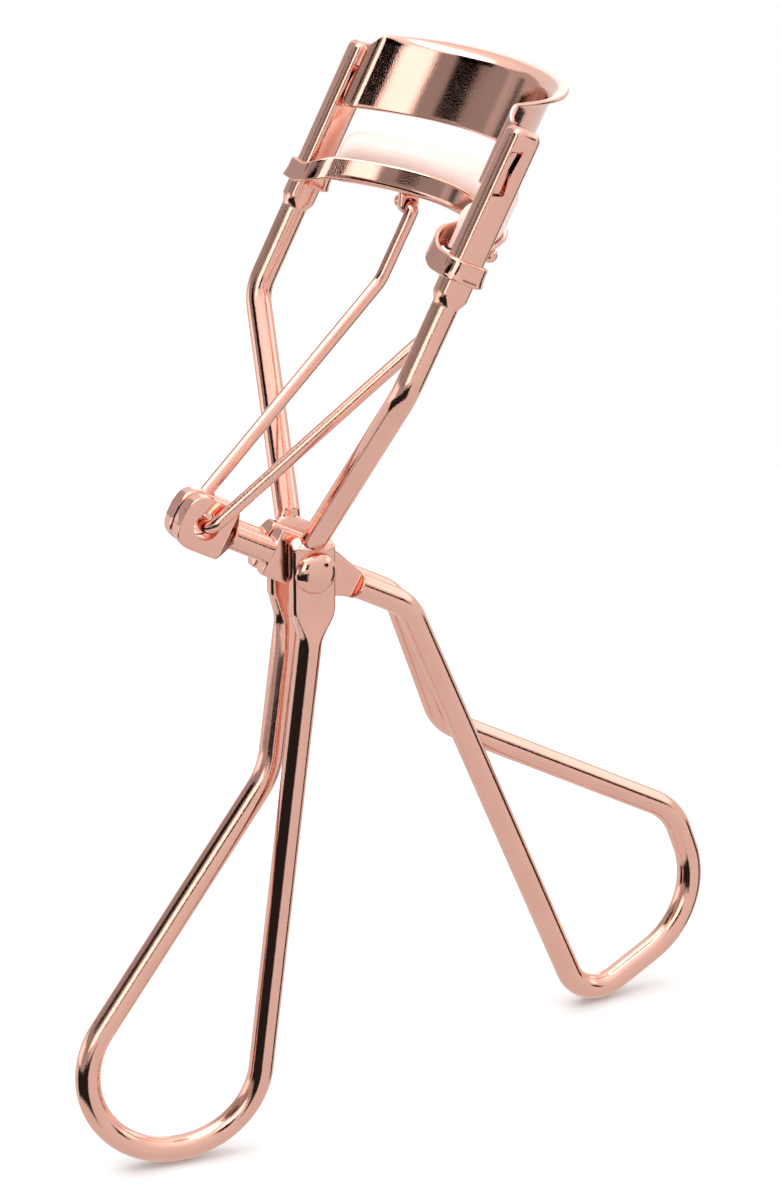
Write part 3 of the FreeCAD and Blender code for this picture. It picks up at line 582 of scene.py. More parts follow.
@dataclass
class FrameWire(Piece):
    """The frame: rails, legs, eye plates and finger loop as one bent and pressed wire."""

    eye_x: float = 2.5
    eye_high: float = 3.6
    eye_low: float = 5.2
    eye_deep: float = 2.0
    rail_length: float = 23.7
    rail_deep: float = 1.35
    flat_start: float = 8.2
    loop_radius: float = 7.9
    loop_top: tuple[float, float] = (-2.6, -20.3)
    strand_x: float = 1.45
    slot_height: float = 3.6
    slot_half: float = 0.50

    def corners(self) -> tuple[list, list]:
        """The bent wire's corners and bend radii, from the near rail's top to the far one's."""
        centre = -LAYOUT.rivet[1:] / MM
        eye = np.array([0.0, -self.eye_low + LAYOUT.wire])
        low = centre[1] - self.loop_radius
        near = self.touch(eye, centre, 1.0, low)
        far = self.touch(np.array(self.loop_top), centre, -1.0, low)
        top = LAYOUT.rail(self.rail_length)
        bend = LAYOUT.rail(0.0)
        half = [
            (LAYOUT.rail_x, top[1], top[2]),
            (LAYOUT.rail_x, bend[1], bend[2]),
            (self.eye_x, 0.0, self.eye_high - LAYOUT.wire),
            (self.eye_x, eye[0], eye[1]),
        ]
        rest = [
            (self.strand_x, near, low),
            (-self.strand_x / 2, far, low),
            (-self.strand_x, *self.loop_top),
        ]
        other = [(-x, y, z) for x, y, z in reversed(half)]
        return half + rest + other, [4.0, 1.6, 3.0, self.loop_radius, self.loop_radius, 8.0, 3.0, 1.6, 4.0]

    def touch(self, start: np.ndarray, centre: np.ndarray, side: float, low: float) -> float:
        """Where the line from a start that touches the loop's circle comes down to a height."""
        gap = centre - start
        angle = math.atan2(gap[1], gap[0]) + side * math.asin(self.loop_radius / np.linalg.norm(gap))
        return float(start[0] + (low - start[1]) * math.cos(angle) / math.sin(angle))

    def shape(self, route: Route, distances: np.ndarray) -> WireShape:
        """Half sizes along the wire: round, pressed to plates at the rivet and to bars at the rails.

        Each pressing is a product of two smooth steps along the wire, and mixes the round half
        sizes with the pressed ones.
        """
        shape = WireShape.round(len(distances), LAYOUT.wire)
        length = route.length
        for side in (1.0, -1.0):
            eye = route.nearest((side * self.eye_x, 0.0, 0.0))
            along = (distances - eye) * side
            plate = ease(-2.95, -2.35, along) * (1.0 - ease(3.4, 6.6, along))
            shape.deep += (self.eye_deep - LAYOUT.wire) * plate
            shape.power += 4.0 * ease(-2.9, -2.5, along) * (1.0 - ease(3.0, 7.0, along))
            flat = ease(-2.85, -2.45, along) * (1.0 - ease(3.2, 8.0, along))
            outside = (LAYOUT.flat - LAYOUT.wire) * flat
            room = (LAYOUT.flat - LAYOUT.wire) * ease(-3.6, -2.7, along) * (1.0 - ease(5.6, 9.5, along))
            if side > 0:
                shape.plus += outside
                shape.minus += room
            else:
                shape.minus += outside
                shape.plus += room
            end = 0.0 if side > 0 else length
            down = np.abs(distances - end)
            flat_end = self.rail_length - self.flat_start
            bar = 1.0 - ease(flat_end - 0.7, flat_end, down)
            shape.deep += (self.rail_deep - LAYOUT.wire) * bar
            shape.power += 1.9 * bar
        return shape.closed_ends(distances, length, 0.8)

    def make(self) -> bpy.types.Object:
        """Sweep the wire and cut the two slots that take the upper jaw's tabs."""
        route = Route.bent(*self.corners())
        eyes = [route.nearest((side * self.eye_x, 0.0, 0.0)) for side in (1.0, -1.0)]
        fine = [(eye + low, eye + high) for eye in eyes for low, high in ((-4.0, -2.0), (2.0, 4.0))]
        fine += [(0.0, 1.0), (route.length - 1.0, route.length)]
        distances = route.stations(0.33, fine)
        shell = Shell(self.name, LAYOUT.rivet)
        shell.add(wire_grid(route, distances, self.shape(route, distances), 72))
        piece = shell.build()
        tools = [bore("rivet_bore", 1.21, np.zeros(3), -6.0, 6.0)]
        tools += [self.slot(side) for side in (1.0, -1.0)]
        cut(piece, tools)
        shade(piece)
        return piece

    def slot(self, side: float) -> bpy.types.Object:
        """A waisted slot: two sides drawn in at mid height by a raised cosine, carried along X."""
        up = np.linspace(0.0, 1.0, 24)
        waist = self.slot_half * (1.0 - 0.32 * np.sin(math.pi * up) ** 2)
        height = -0.15 + up * (self.slot_height + 0.3)
        base = LAYOUT.rail(LAYOUT.jaw_station)[1:]
        way = LAYOUT.rail_way[1:]
        face = LAYOUT.jaw_way[1:]
        middle = base + height[:, None] * way - LAYOUT.jaw_back * face
        outline = np.concatenate([middle + waist[:, None] * face, (middle - waist[:, None] * face)[::-1]])
        low, high = sorted((side * (LAYOUT.rail_x - 1.4), side * (LAYOUT.rail_x + 1.6)))
        return prism("tab_slot", outline, low, high)


@dataclass
class LeverWire(Piece):
    """The lever: two front eyes, two flats at the rivet and a finger loop."""

    block_half: float = 2.2
    rear: float = 11.0
    eye_radius: float = 2.4
    hole_radius: float = 1.2
    gap: float = 0.15
    bend_radius: float = 4.5
    fork: tuple[float, float] = (14.2, -18.4)
    low: tuple[float, float] = (27.9, -49.2)
    out: tuple[float, float] = (41.6, -42.4)
    top: tuple[float, float] = (38.0, -31.8)

    def corners(self) -> tuple[list, list]:
        """The bent wire's corners and bend radii, from the near front eye to the far one."""
        side = LAYOUT.wire + self.gap
        front = LAYOUT.lever(-LAYOUT.lever_front - self.eye_radius)
        bend = LAYOUT.lever(self.rear)
        points = [
            (side, front[1], front[2]),
            (side, bend[1], bend[2]),
            (side, *self.low),
            (0.0, *self.out),
            (-side / 2, *self.top),
            (-side, *self.fork),
            (-side, bend[1], bend[2]),
            (-side, front[1], front[2]),
        ]
        return points, [self.bend_radius, 3.8, 8.0, 6.0, self.bend_radius, self.bend_radius]

    def shape(self, route: Route, distances: np.ndarray) -> WireShape:
        """Half sizes along the wire: pressed at the eyes and at the rivet, round elsewhere.

        Each pressing is a product of two smooth steps; the eye's outline is a quarter of a
        superellipse at its free end. The inner faces stay in one plane.
        """
        shape = WireShape.round(len(distances), LAYOUT.wire)
        thin = 2 * (LAYOUT.flat - LAYOUT.wire)
        for side in (1.0, -1.0):
            rivet = route.nearest((side * (LAYOUT.wire + self.gap), 0.0, 0.0))
            along = (distances - rivet) * side
            block = ease(-4.1, -3.7, along) * (1.0 - ease(5.1, 5.5, along))
            narrowing = 1.0 - 0.42 * ease(1.5, 5.3, along)
            hook = along + LAYOUT.lever_front
            eye = 1.0 - ease(2.15, 2.6, hook)
            pressed = np.maximum(block, eye)
            shape.deep += (self.block_half * narrowing - LAYOUT.wire) * block + (self.eye_radius - LAYOUT.wire) * eye
            shape.power += 5.0 * pressed
            tip = np.clip(-hook / self.eye_radius, 0.0, 1.0)
            taper = np.where(hook < 0, (1.0 - tip ** 3.2) ** (1 / 3.2), 1.0)
            shape.deep *= np.maximum(taper, 0.3)
            if side > 0:
                shape.plus += thin * pressed
            else:
                shape.minus += thin * pressed
        return shape

    def make(self) -> bpy.types.Object:
        """Sweep the wire, then bore the rivet's hole and the link's oversize holes."""
        route = Route.bent(*self.corners())
        rivets = [route.nearest((side * (LAYOUT.wire + self.gap), 0.0, 0.0)) for side in (1.0, -1.0)]
        fine = [(rivet + side * step - 0.35, rivet + side * step + 0.35)
                for rivet, side in zip(rivets, (1.0, -1.0)) for step in (-3.9, 5.3, -8.2)]
        fine += [(0.0, 2.4), (route.length - 2.4, route.length)]
        distances = route.stations(0.33, fine)
        shell = Shell(self.name, LAYOUT.rivet)
        shell.add(wire_grid(route, distances, self.shape(route, distances), 72))
        piece = shell.build()
        hook = LAYOUT.lever(-LAYOUT.lever_front)
        cut(piece, [
            bore("rivet_hole", 1.25, np.zeros(3), -4.0, 4.0),
            bore("link_hole", self.hole_radius, hook, -4.0, 4.0),
        ])
        shade(piece)
        return piece


@dataclass
class LinkWire(Piece):
    """The link: a thin wire through the lever's eyes with a rounded, headed pin at each upper end."""

    radius: float = 0.6
    outside: float = 2.35
    bend: tuple[float, float, float] = (6.3, 10.5, 22.1)
    lug_x: float = 7.5
    lug_drop: float = 1.1
    head_radius: float = 0.64
    head_x: float = 8.8

    def pin(self) -> np.ndarray:
        """The place of the near pin, under the lower jaw's channel."""
        middle = math.sqrt(LAYOUT.jaw_radius ** 2 - self.lug_x ** 2) - LAYOUT.arc_back
        up = np.array([0.0, math.sin(LAYOUT.jaw_plane), math.cos(LAYOUT.jaw_plane)])
        return LAYOUT.rail(LAYOUT.channel_station, self.lug_x) + middle * LAYOUT.jaw_way - self.lug_drop * up

    def make(self) -> bpy.types.Object:
        """Sweep the wire; its radius narrows at each pin and swells to a ball at the end.

        Near an end the radius is the larger of the pin's radius and a circle's half chord round
        the ball's centre.
        """
        hook = LAYOUT.lever(-LAYOUT.lever_front)
        pin = self.pin()
        top_x = self.lug_x - 1.2
        near = [
            (self.head_x + self.head_radius, pin[1], pin[2]),
            (top_x, pin[1], pin[2]),
            self.bend,
            (self.outside, hook[1], hook[2]),
        ]
        far = [(-x, y, z) for x, y, z in reversed(near)]
        route = Route.bent(near + far, [0.55, 3.0, 1.2, 1.2, 3.0, 0.55])
        ends = [(0.0, 3.2), (route.length - 3.2, route.length)]
        distances = route.stations(0.3, ends)
        gap = np.minimum(distances, route.length - distances)
        ball = np.sqrt(np.maximum(self.head_radius ** 2 - (gap - self.head_radius) ** 2, 0.0))
        neck = np.where(gap < self.head_radius, 0.02, 0.5 + 0.1 * ease(2.2, 3.0, gap))
        radius = np.maximum(ball, neck)
        shape = WireShape(radius, radius, radius, np.full(len(distances), 2.0))
        shell = Shell(self.name, LAYOUT.rivet)
        shell.add(wire_grid(route, distances, shape, 40, unit(np.cross(X_AXIS, hook - pin))))
        piece = shell.build()
        shade(piece, 60.0)
        return piece


@dataclass
class UpperJaw(Piece):
    """The fixed jaw: a curved plate with a rolled-out rim, flanges to the rails and two tabs."""

    half: float = 0.22
    height: float = 6.05
    flare_out: float = 1.15
    flare_up: float = 0.7
    tab_height: float = 3.6
    flange_high: float = 5.5
    arc_end: float = math.radians(61.0)
    corner_radius: float = 1.0

    def path(self) -> Route:
        """The plate's line in the jaw's plane: flange, corner, arc, corner and flange."""
        radius, back = LAYOUT.jaw_radius, LAYOUT.arc_back
        meet = -back + radius / math.cos(self.arc_end)
        run = (meet + LAYOUT.jaw_back) / math.tan(self.arc_end)
        edge = LAYOUT.rail_x - 1.17
        points = [(edge, -LAYOUT.jaw_back, 0.0), (run, -LAYOUT.jaw_back, 0.0), (0.0, meet, 0.0)]
        points += [(-x, y, z) for x, y, z in (points[1], points[0])]
        return Route.bent(points, [self.corner_radius, radius, self.corner_radius])

    def make(self) -> bpy.types.Object:
        """Carry the plate's upright curve along its line, and add the tabs.

        The upright curve rises straight and then rolls outwards by a quarter wave. Near each end
        its top comes down along a smooth step and the roll dies away, which leaves the relief
        notch beside the rail.
        """
        route = self.path()
        distances = route.stations(0.28, [(0.0, 3.4), (route.length - 3.4, route.length)])
        gap = np.minimum(distances, route.length - distances)[:, None]
        rise = np.concatenate([np.linspace(0.0, 1.0, 22), 1.0 + np.linspace(0.0, 1.0, 15)[1:]])[None, :]
        swing = np.clip(rise - 1.0, 0.0, 1.0) * math.pi / 2
        flared = ease(1.05, 1.75, gap)
        rolled = ease(1.2, 9.0, gap)
        straight = np.minimum(rise, 1.0) * (self.flange_high + (self.height - self.flange_high) * flared)
        lift = straight + self.flare_up * np.sin(swing) * (0.02 + 0.98 * ease(0.25, 1.5, gap))
        out = self.flare_out * (1.0 - np.cos(swing)) * rolled
        lift = lift + LAYOUT.sheet * (1.0 - lift / (self.height + self.flare_up))
        loops = sheet_loops(np.stack([out, lift], axis=-1), self.half)
        line, way = route.at(distances), route.way(distances)
        normal = np.stack([way[:, 1], -way[:, 0]], axis=1)
        x = line[:, None, 0] + loops[..., 0] * normal[:, None, 0]
        y = line[:, None, 1] + loops[..., 0] * normal[:, None, 1]
        shell = Shell(self.name, LAYOUT.rivet)
        shell.add(LAYOUT.jaw(LAYOUT.jaw_station, x, y, loops[..., 1]))
        for side in (1.0, -1.0):
            shell.add(self.tab(side))
        piece = shell.build()
        shade(piece)
        return piece

    def tab(self, side: float) -> np.ndarray:
        """One tab: a flat rounded bar through the rail, its section a squared superellipse."""
        turn = np.linspace(0.0, 2 * math.pi, 48, endpoint=False)[None, :]
        x = side * np.linspace(LAYOUT.rail_x - 1.6, LAYOUT.rail_x + 0.75, 8)[:, None] + 0.0 * turn
        y = signed_power(np.cos(turn), 0.3) * 0.27 - LAYOUT.jaw_back + 0.0 * x
        height = (1.0 + signed_power(np.sin(turn), 0.3)) * self.tab_height / 2 + 0.0 * x
        return LAYOUT.jaw(LAYOUT.jaw_station, x, y, height)


@dataclass
class LowerJaw(Piece):
    """The sliding jaw: a curved seat with a front wall, and a band round each rail."""

    end: float = math.radians(60.0)
    half: float = 0.2
    wall: float = 1.6
    lip: float = 1.55
    top: float = 2.2
    bend_radius: float = 0.7
    collar_low: float = -1.4
    collar_high: float = 0.4
    collar_broad: float = 1.5
    collar_deep: float = 1.81

    def seat(self) -> np.ndarray:
        """The wall and floor along their arc.

        A point of the upright curve is on the front wall, round the bend by cosine and sine, or
        along the floor; the curve gets its thickness and is turned round the jaws' arc centre.
        """
        turn = np.linspace(0.0, math.pi / 2, 12)[1:-1]
        radius, low = self.bend_radius, self.half + 0.05
        wall_h = np.linspace(self.top, low + radius, 16)
        floor_y = np.linspace(radius - self.wall, self.lip, 14)
        y = np.concatenate([np.full(16, -self.wall), radius - self.wall - radius * np.cos(turn), floor_y])
        h = np.concatenate([wall_h, low + radius - radius * np.sin(turn), np.full(14, low)])
        loop = sheet_loops(np.stack([y, h], axis=-1)[None], self.half)[0]
        place = np.linspace(-self.end, self.end, 240)[:, None]
        reach = LAYOUT.jaw_radius + loop[None, :, 0]
        x = reach * np.sin(place)
        along = reach * np.cos(place) - LAYOUT.arc_back
        return LAYOUT.jaw(LAYOUT.channel_station, x, along, loop[None, :, 1] + 0.0 * x)

    def band(self, side: float) -> np.ndarray:
        """One band: it leaves the front wall, bends to the rail's front and closes round the rail.

        An upright sheet is carried along a bent line. A smooth step along the line turns its
        height from the wall's to the collar's, which is square to the rail: there the height
        falls with the place along the bulge by the sine of the angle between jaw and rail.

        Args:
            side: 1 for the near rail, -1 for the far one.

        Returns:
            The band's grid.
        """
        reach = LAYOUT.jaw_radius - self.wall
        meet = np.array([reach * math.sin(self.end), reach * math.cos(self.end) - LAYOUT.arc_back])
        way = np.array([math.cos(self.end), -math.sin(self.end)])
        corner = meet + way * (meet[1] + self.collar_deep) / math.sin(self.end)
        start = meet - way * 0.8
        low_x, high_x = LAYOUT.rail_x - self.collar_broad, LAYOUT.rail_x + self.collar_broad
        points = [(*start, 0.0), (*corner, 0.0), (high_x, -self.collar_deep, 0.0), (high_x, self.collar_deep, 0.0),
                  (low_x, self.collar_deep, 0.0), (low_x, -0.6, 0.0)]
        route = Route.bent(points, [2.2, 1.15, 1.15, 1.0])
        distances = route.stations(0.10)
        line, flow = route.at(distances), route.way(distances)
        knee = route.nearest((*corner, 0.0))
        square = ease(knee - 1.4, knee + 2.4, distances)[:, None]
        fall = -line[:, 1:2] * math.sin(LAYOUT.rail_tilt - LAYOUT.jaw_plane)
        low = (1.0 - square) * (self.half + 0.25) + square * (self.collar_low + self.half + fall)
        top = (1.0 - square) * self.top + square * (self.collar_high - self.half + fall)
        rise = low + (top - low) * np.linspace(0.0, 1.0, 16)[None, :]
        bulge = 0.16 * square * (1.0 - np.linspace(0.0, 1.0, 16)[None, :]) ** 3
        loops = sheet_loops(np.stack([-bulge, rise], axis=-1), self.half * 0.96)
        normal = np.stack([flow[:, 1], -flow[:, 0]], axis=1)
        x = line[:, None, 0] - loops[..., 0] * normal[:, None, 0]
        y = line[:, None, 1] - loops[..., 0] * normal[:, None, 1]
        return LAYOUT.jaw(LAYOUT.channel_station, side * x, y, loops[..., 1])

    def make(self) -> bpy.types.Object:
        """Gather the seat and the two bands."""
        shell = Shell(self.name, LAYOUT.rivet)
        shell.add(self.seat())
        for side in (1.0, -1.0):
            shell.add(self.band(side))
        piece = shell.build()
        shade(piece)
        return piece


@dataclass
class PadStrip(Piece):
    """The silicone pad: a strip with a rounded top that sits in the channel."""

    end: float = math.radians(64.5)
    inner: float = 1.1
    outer: float = 1.26
    bulb: float = 1.28
    base: float = 0.55
    middle: float = 3.32

    def make(self) -> bpy.types.Object:
        """Carry the strip's section round the arc, drawn in by a quarter circle at each end.

        The section runs up one side with a gentle swell to the bulb, over a half circle and down
        the other side; its foot is a flattened half ellipse.
        """
        end = self.end
        place = np.sort(np.concatenate([np.linspace(-end, end, 200), np.linspace(-end, -end + 0.1, 24)[1:-1],
                                        np.linspace(end - 0.1, end, 24)[1:-1]]))
        over = np.linspace(0.0, math.pi, 33)
        rise = np.linspace(0.0, 1.0, 16)[:-1]
        outer_y = self.outer + (self.bulb - self.outer) * ease(0.45, 1.0, rise)
        inner_y = self.inner + (self.bulb - self.inner) * ease(0.62, 1.0, rise)
        side_h = self.base + (self.middle - self.base) * rise
        y = np.concatenate([outer_y, self.bulb * np.cos(over), -inner_y[::-1]])
        h = np.concatenate([side_h, self.middle + self.bulb * np.sin(over), side_h[::-1]])
        gap = (end - np.abs(place)) * LAYOUT.jaw_radius
        share = np.clip(1.0 - gap / self.bulb, 0.0, 1.0)
        factor = np.maximum(np.sqrt(1.0 - share ** 2), 0.05)[:, None]
        height = h[None, :]
        droop = self.base + (height - self.base) * (1.0 - 0.38 * (1.0 - factor) * (height > self.base))
        radius = LAYOUT.jaw_radius + y[None, :] * factor
        x = radius * np.sin(place)[:, None]
        along = radius * np.cos(place)[:, None] - LAYOUT.arc_back
        shell = Shell(self.name, LAYOUT.rivet)
        shell.add(LAYOUT.jaw(LAYOUT.channel_station, x, along, droop))
        piece = shell.build()
        shade(piece, 60.0)
        return piece


@dataclass
class Rivet(Piece):
    """The rivet: a shank with a low domed head at each end, turned about X."""

    grip: float = 3.25
    shank: float = 1.2
    head: float = 1.9
    height: float = 1.1

    def make(self) -> bpy.types.Object:
        """Turn the rivet's outline about X; each head is a circular dome with a rounded rim."""
        share = np.linspace(0.0, 1.0, 26)
        dome_r = self.head * np.sin(share * math.pi / 2)
        dome_x = self.grip + self.height * np.cos(share * math.pi / 2) ** 0.9
        dome_r[0] = 0.01
        x = np.concatenate([dome_x, [self.grip + 0.02], [self.grip - 0.02], -np.array([self.grip - 0.02]),
                            [-self.grip - 0.02], -dome_x[::-1]])
        radius = np.concatenate([dome_r, [self.head - 0.06, self.shank, self.shank, self.head - 0.06],
                                 dome_r[::-1]])
        turn = np.linspace(0.0, 2 * math.pi, 96, endpoint=False)[None, :]
        grid = np.stack([x[:, None] + 0.0 * turn, radius[:, None] * np.cos(turn),
                         radius[:, None] * np.sin(turn)], axis=-1)
        shell = Shell(self.name, LAYOUT.rivet)
        shell.add(grid)
        piece = shell.build()
        shade(piece, 50.0)
        return piece


@dataclass
class Lug(Piece):
    """One small lug under the channel, an eye that the link's pin turns in."""

    side: float = 1.0
    hole: float = 0.52
    radius: float = 0.86
    half_thick: float = 0.6
    drop: float = 1.1

    def make(self) -> bpy.types.Object:
        """Carry a rounded section round the hole.

        Round the hole the outline's distance is a circle's below and a straight-sided neck's
        above; the section is a squared superellipse between the hole and that outline.
        """
        pin = LinkWire.pin(LINK) * np.array([self.side, 1.0, 1.0])
        around = np.linspace(0.0, 2 * math.pi, 96, endpoint=False)[:, None]
        section = np.linspace(0.0, 2 * math.pi, 24, endpoint=False)[None, :]
        side_way, up_way = np.cos(around), np.sin(around)
        box = np.minimum(self.radius / np.maximum(np.abs(side_way), 1e-6),
                         (self.drop + 0.05) / np.maximum(up_way, 1e-6))
        outline = np.where(up_way > 0, box, self.radius)
        middle, half = (outline + self.hole) / 2, (outline - self.hole) / 2
        reach = middle + half * signed_power(np.cos(section), 0.85)
        x = self.half_thick * signed_power(np.sin(section), 0.9) + 0.0 * reach
        up = np.array([0.0, math.sin(LAYOUT.jaw_plane), math.cos(LAYOUT.jaw_plane)])
        grid = (pin + x[..., None] * np.array([1.0, 0.0, 0.0])
                + (reach * side_way)[..., None] * LAYOUT.jaw_way + (reach * up_way)[..., None] * up)
        shell = Shell(self.name, LAYOUT.rivet)
        shell.add(grid, ring=True)
        piece = shell.build()
        shade(piece)
        return piece


LINK = LinkWire("link_wire_bent", Body.LINK, WIRE_PLATING, ("link_wire",))


# ---------------------------------------------------------------- the studio

@dataclass(frozen=True)
class Card:
    """One board or soft box of the studio, seen by direction from the object."""

    name: str
    azimuth: tuple[float, float]
    height: tuple[float, float]
    light: float
    soft: float = 3.0


SKY_HEIGHTS = [(-1.0, 0.74), (-0.5, 0.76), (-0.2, 0.82), (0.20, 0.84),
               (0.55, 0.95), (0.75, 1.15), (0.90, 1.45)]
# Height is the sine of the elevation; azimuth is in degrees from the x axis.
CARDS = (
    Card("side_wall", (-132.0, -98.0), (0.16, 0.60), 0.34, 6.0),
    Card("rear_wall", (-170.0, -132.0), (-0.02, 0.56), 0.48, 5.0),
    Card("window", (-144.0, -104.0), (-0.18, 0.13), 1.30, 4.0),
    Card("door", (-98.0, -60.0), (0.04, 0.60), 0.34, 3.0),
    Card("shelf", (-98.0, -40.0), (-0.16, 0.06), 0.45, 4.0),
    Card("front_box", (-62.0, -36.0), (0.10, 0.70), 1.9, 5.0),
    Card("front_flag", (-35.0, -20.0), (0.15, 0.52), 0.005, 1.5),
    Card("side_flag", (-102.0, -80.0), (0.392, 0.72), 0.004, 1.0),
    Card("side_flag_upper", (-114.0, -102.0), (0.43, 0.70), 0.004, 1.0),
    Card("side_flag_top", (-123.0, -113.0), (0.52, 0.68), 0.06, 2.0),
    Card("low_board", (-117.0, -18.0), (-0.56, -0.17), 0.02, 6.0),
    Card("low_bar", (-60.0, -14.0), (-0.20, -0.10), 0.02, 3.0),
    Card("post", (-148.0, -140.0), (0.17, 0.27), 0.10, 2.0),
    Card("right_box", (60.0, 126.0), (0.24, 0.50), 1.55, 5.0),
    Card("right_line", (38.0, 54.0), (0.04, 0.23), 0.01, 2.0),
    Card("right_post", (74.0, 96.0), (-0.62, -0.10), 0.03, 3.0),
    Card("rear_box", (144.0, 157.0), (-0.10, 0.42), 1.5, 2.0),
)


@dataclass
class Studio:
    """A pale floor with a low step, light by direction with boards and boxes in it, and the camera.

    The camera stands `depth` metres back from the rivet, moved aside and below it by the next two.
    The floor reaches `floor_span` to the sides and the front and `floor_back` behind, and lies
    `floor_gap` under the loops. `step` is the stretch along Y over which it rises.
    """

    azimuth: float = 65.388
    elevation: float = 22.471
    lens: float = 111.37
    depth: float = 0.32045
    aside: float = 0.00775
    below: float = 0.00329
    step: tuple[float, float] = (0.010, 0.029)
    floor_span: float = 3.0
    floor_back: float = 0.13
    floor_gap: float = 0.00015
    floor_tone: float = 0.93
    lamp_size: float = 1.6
    lamp_power: float = 13.0
    lamp_place: tuple[float, float, float] = (-0.2, -0.5, 1.7)

    def floor(self) -> None:
        """A wide pale sheet with a low step, so that both finger loops rest on it.

        The height is a smooth step, 3t^2 - 2t^3, of the way along Y from the frame's loop to the lever's.
        """
        low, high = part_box("frame_wire")[0][2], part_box("lever_wire")[0][2]
        rows = np.concatenate([[-self.floor_span], np.linspace(*self.step, 33), [self.floor_back]])
        heights = low + (high - low) * ease(*self.step, rows) - self.floor_gap
        points = [(x, y, z) for y, z in zip(rows, heights) for x in (-self.floor_span, self.floor_span)]
        faces = [(row, row + 1, row + 3, row + 2) for row in range(0, len(points) - 2, 2)]
        mesh = bpy.data.meshes.new("floor")
        mesh.from_pydata(points, [], faces)
        floor = bpy.data.objects.new("floor", mesh)
        bpy.context.scene.collection.objects.link(floor)
        material = bpy.data.materials.new("pale_floor")
        material.use_nodes = True
        shader = material.node_tree.nodes["Principled BSDF"]
        shader.inputs["Base Color"].default_value = (*[self.floor_tone] * 3, 1.0)
        shader.inputs["Roughness"].default_value = 0.9
        shader.inputs["Specular IOR Level"].default_value = 0.1
        nodes, links = material.node_tree.nodes, material.node_tree.links
        path = nodes.new("ShaderNodeLightPath")
        clear = nodes.new("ShaderNodeBsdfTransparent")
        mix = nodes.new("ShaderNodeMixShader")
        links.new(path.outputs["Is Glossy Ray"], mix.inputs["Fac"])
        links.new(shader.outputs["BSDF"], mix.inputs[1])
        links.new(clear.outputs["BSDF"], mix.inputs[2])
        links.new(mix.outputs["Shader"], nodes["Material Output"].inputs["Surface"])
        mesh.materials.append(material)
        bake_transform(floor)

    def sky(self) -> None:
        """Soft light by direction: pale all round, with boards and boxes that draw lines on the metal."""
        world = bpy.data.worlds.new("studio")
        bpy.context.scene.world = world
        world.use_nodes = True
        nodes, links = world.node_tree.nodes, world.node_tree.links
        nodes.clear()
        out = nodes.new("ShaderNodeOutputWorld")
        back = nodes.new("ShaderNodeBackground")
        place = nodes.new("ShaderNodeTexCoord")
        split = nodes.new("ShaderNodeSeparateXYZ")
        links.new(place.outputs["Generated"], split.inputs[0])
        angle = self.maths(nodes, links, "ARCTAN2", split.outputs["Y"], split.outputs["X"])
        turn = self.share(nodes, links, angle, math.pi)
        height = self.share(nodes, links, split.outputs["Z"], 1.0)
        light = self.ramp(nodes, links, height, SKY_HEIGHTS, 1.0)
        for card in CARDS:
            across = self.ramp(nodes, links, turn, self.window(card.azimuth, card.soft), 180.0)
            upright = self.ramp(nodes, links, height, self.window(card.height, 0.008), 1.0)
            inside = self.maths(nodes, links, "MULTIPLY", across, upright)
            light = self.mixed(nodes, links, inside, light, card.light)
        path = nodes.new("ShaderNodeLightPath")
        seen = self.mixed(nodes, links, path.outputs["Is Camera Ray"], light, 1.0)
        links.new(seen, back.inputs["Color"])
        links.new(back.outputs["Background"], out.inputs["Surface"])

    @staticmethod
    def window(limits: tuple[float, float], soft: float) -> list[tuple[float, float]]:
        """Ramp stops that rise at the lower limit and fall at the upper one."""
        low, high = limits
        return [(low - soft / 2, 0.0), (low + soft / 2, 1.0), (high - soft / 2, 1.0), (high + soft / 2, 0.0)]

    @staticmethod
    def share(nodes: bpy.types.Nodes, links: bpy.types.NodeLinks, value: bpy.types.NodeSocket,
              limit: float) -> bpy.types.NodeSocket:
        """The value's place between minus and plus the limit, from 0 to 1."""
        node = nodes.new("ShaderNodeMapRange")
        node.inputs["From Min"].default_value = -limit
        node.inputs["From Max"].default_value = limit
        links.new(value, node.inputs["Value"])
        return node.outputs["Result"]

    @staticmethod
    def mixed(nodes: bpy.types.Nodes, links: bpy.types.NodeLinks, factor: bpy.types.NodeSocket,
              first: bpy.types.NodeSocket, light: float) -> bpy.types.NodeSocket:
        """The first colour mixed with a grey of the given light."""
        node = nodes.new("ShaderNodeMix")
        node.data_type = "RGBA"
        node.inputs["B"].default_value = (light, light, light, 1.0)
        links.new(first, node.inputs["A"])
        links.new(factor, node.inputs["Factor"])
        return node.outputs["Result"]

    @staticmethod
    def maths(nodes: bpy.types.Nodes, links: bpy.types.NodeLinks, operation: str,
              first: bpy.types.NodeSocket, second: bpy.types.NodeSocket) -> bpy.types.NodeSocket:
        """One arithmetic node on two sockets, and its output."""
        node = nodes.new("ShaderNodeMath")
        node.operation = operation
        links.new(first, node.inputs[0])
        links.new(second, node.inputs[1])
        return node.outputs[0]

    @staticmethod
    def ramp(nodes: bpy.types.Nodes, links: bpy.types.NodeLinks, share: bpy.types.NodeSocket,
             stops: list[tuple[float, float]], limit: float) -> bpy.types.NodeSocket:
        """A grey ramp over a 0 to 1 share, with its stops given between minus and plus the limit."""
        ramp = nodes.new("ShaderNodeValToRGB")
        elements = ramp.color_ramp.elements
        while len(elements) > 1:
            elements.remove(elements[-1])
        for index, (stop, value) in enumerate(stops):
            place = min(1.0, max(0.0, (stop + limit) / (2.0 * limit)))
            element = elements[0] if index == 0 else elements.new(place)
            element.position = place
            element.color = (value, value, value, 1.0)
        links.new(share, ramp.inputs["Fac"])
        return ramp.outputs["Color"]

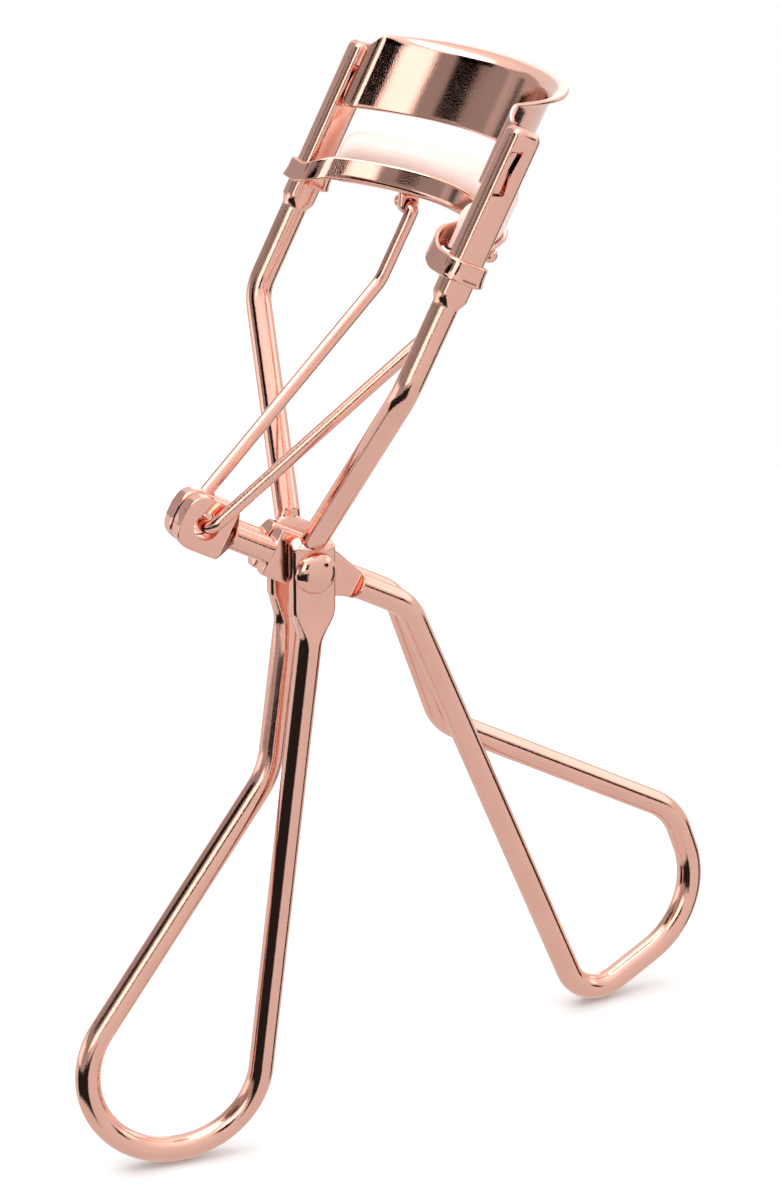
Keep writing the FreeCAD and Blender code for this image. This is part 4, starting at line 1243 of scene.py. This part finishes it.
    def lamps(self) -> None:
        """One wide soft light high above that keeps the floor pale."""
        lamp = bpy.data.lights.new("overhead_softbox", "AREA")
        lamp.shape = "DISK"
        lamp.size = self.lamp_size
        lamp.energy = self.lamp_power
        holder = bpy.data.objects.new("overhead_softbox", lamp)
        holder.location = self.lamp_place
        holder.rotation_mode = "QUATERNION"
        holder.rotation_quaternion = Vector(holder.location).to_track_quat("Z", "Y")
        bpy.context.scene.collection.objects.link(holder)

    def camera(self) -> None:
        """The camera, looking level with its own frame from its azimuth and elevation."""
        azimuth, elevation = math.radians(self.azimuth), math.radians(self.elevation)
        back = Vector((math.sin(azimuth) * math.cos(elevation), -math.cos(azimuth) * math.cos(elevation),
                       math.sin(elevation)))
        right = Vector((math.cos(azimuth), math.sin(azimuth), 0.0))
        up = back.cross(right)
        centre = Vector(LAYOUT.rivet)
        data = bpy.data.cameras.new("camera")
        data.sensor_width = 36.0
        data.sensor_fit = "AUTO"
        data.lens = self.lens
        data.clip_start = 0.01
        data.clip_end = 20.0
        holder = bpy.data.objects.new("camera", data)
        place = centre + back * self.depth + right * self.aside - up * self.below
        turn = Matrix((right, up, back)).transposed().to_4x4()
        holder.matrix_world = Matrix.Translation(place) @ turn
        bpy.context.scene.collection.objects.link(holder)
        bpy.context.scene.camera = holder

    def build(self) -> None:
        """Set up the camera, the floor and the light."""
        self.camera()
        self.floor()
        self.sky()
        self.lamps()
        bpy.context.scene.view_settings.view_transform = "Standard"
        bpy.context.scene.view_settings.look = "None"


def main() -> None:
    """Build the studio and the pieces in order, dress each one and report it."""
    logging.basicConfig(level=logging.INFO, format="%(message)s")
    Studio().build()
    group = surface_group()
    finishes = (WIRE_PLATING, SHEET_PLATING, PAD_SILICONE)
    materials = {finish.name: finish.material(group) for finish in finishes}
    pieces = [
        FrameWire("frame_wire_bent", Body.FRAME, WIRE_PLATING, ("frame_wire",)),
        UpperJaw("upper_jaw_plate", Body.FRAME, SHEET_PLATING, ("upper_jaw",)),
        Rivet("pivot_rivet_domed", Body.FRAME, SHEET_PLATING, ("pivot_rivet",)),
        LeverWire("lever_wire_bent", Body.LEVER, WIRE_PLATING, ("lever_wire",)),
        LowerJaw("lower_jaw_channel", Body.LOWER_JAW, SHEET_PLATING, ("lower_jaw",)),
        PadStrip("silicone_pad_strip", Body.LOWER_JAW, PAD_SILICONE, ("silicone_pad",)),
        Lug("link_lug_near_eye", Body.LOWER_JAW, SHEET_PLATING, ("link_lug_near",), side=1.0),
        Lug("link_lug_far_eye", Body.LOWER_JAW, SHEET_PLATING, ("link_lug_far",), side=-1.0),
        LINK,
    ]
    for piece in pieces:
        piece.dress(piece.make(), materials)


if __name__ == "__main__":
    main()
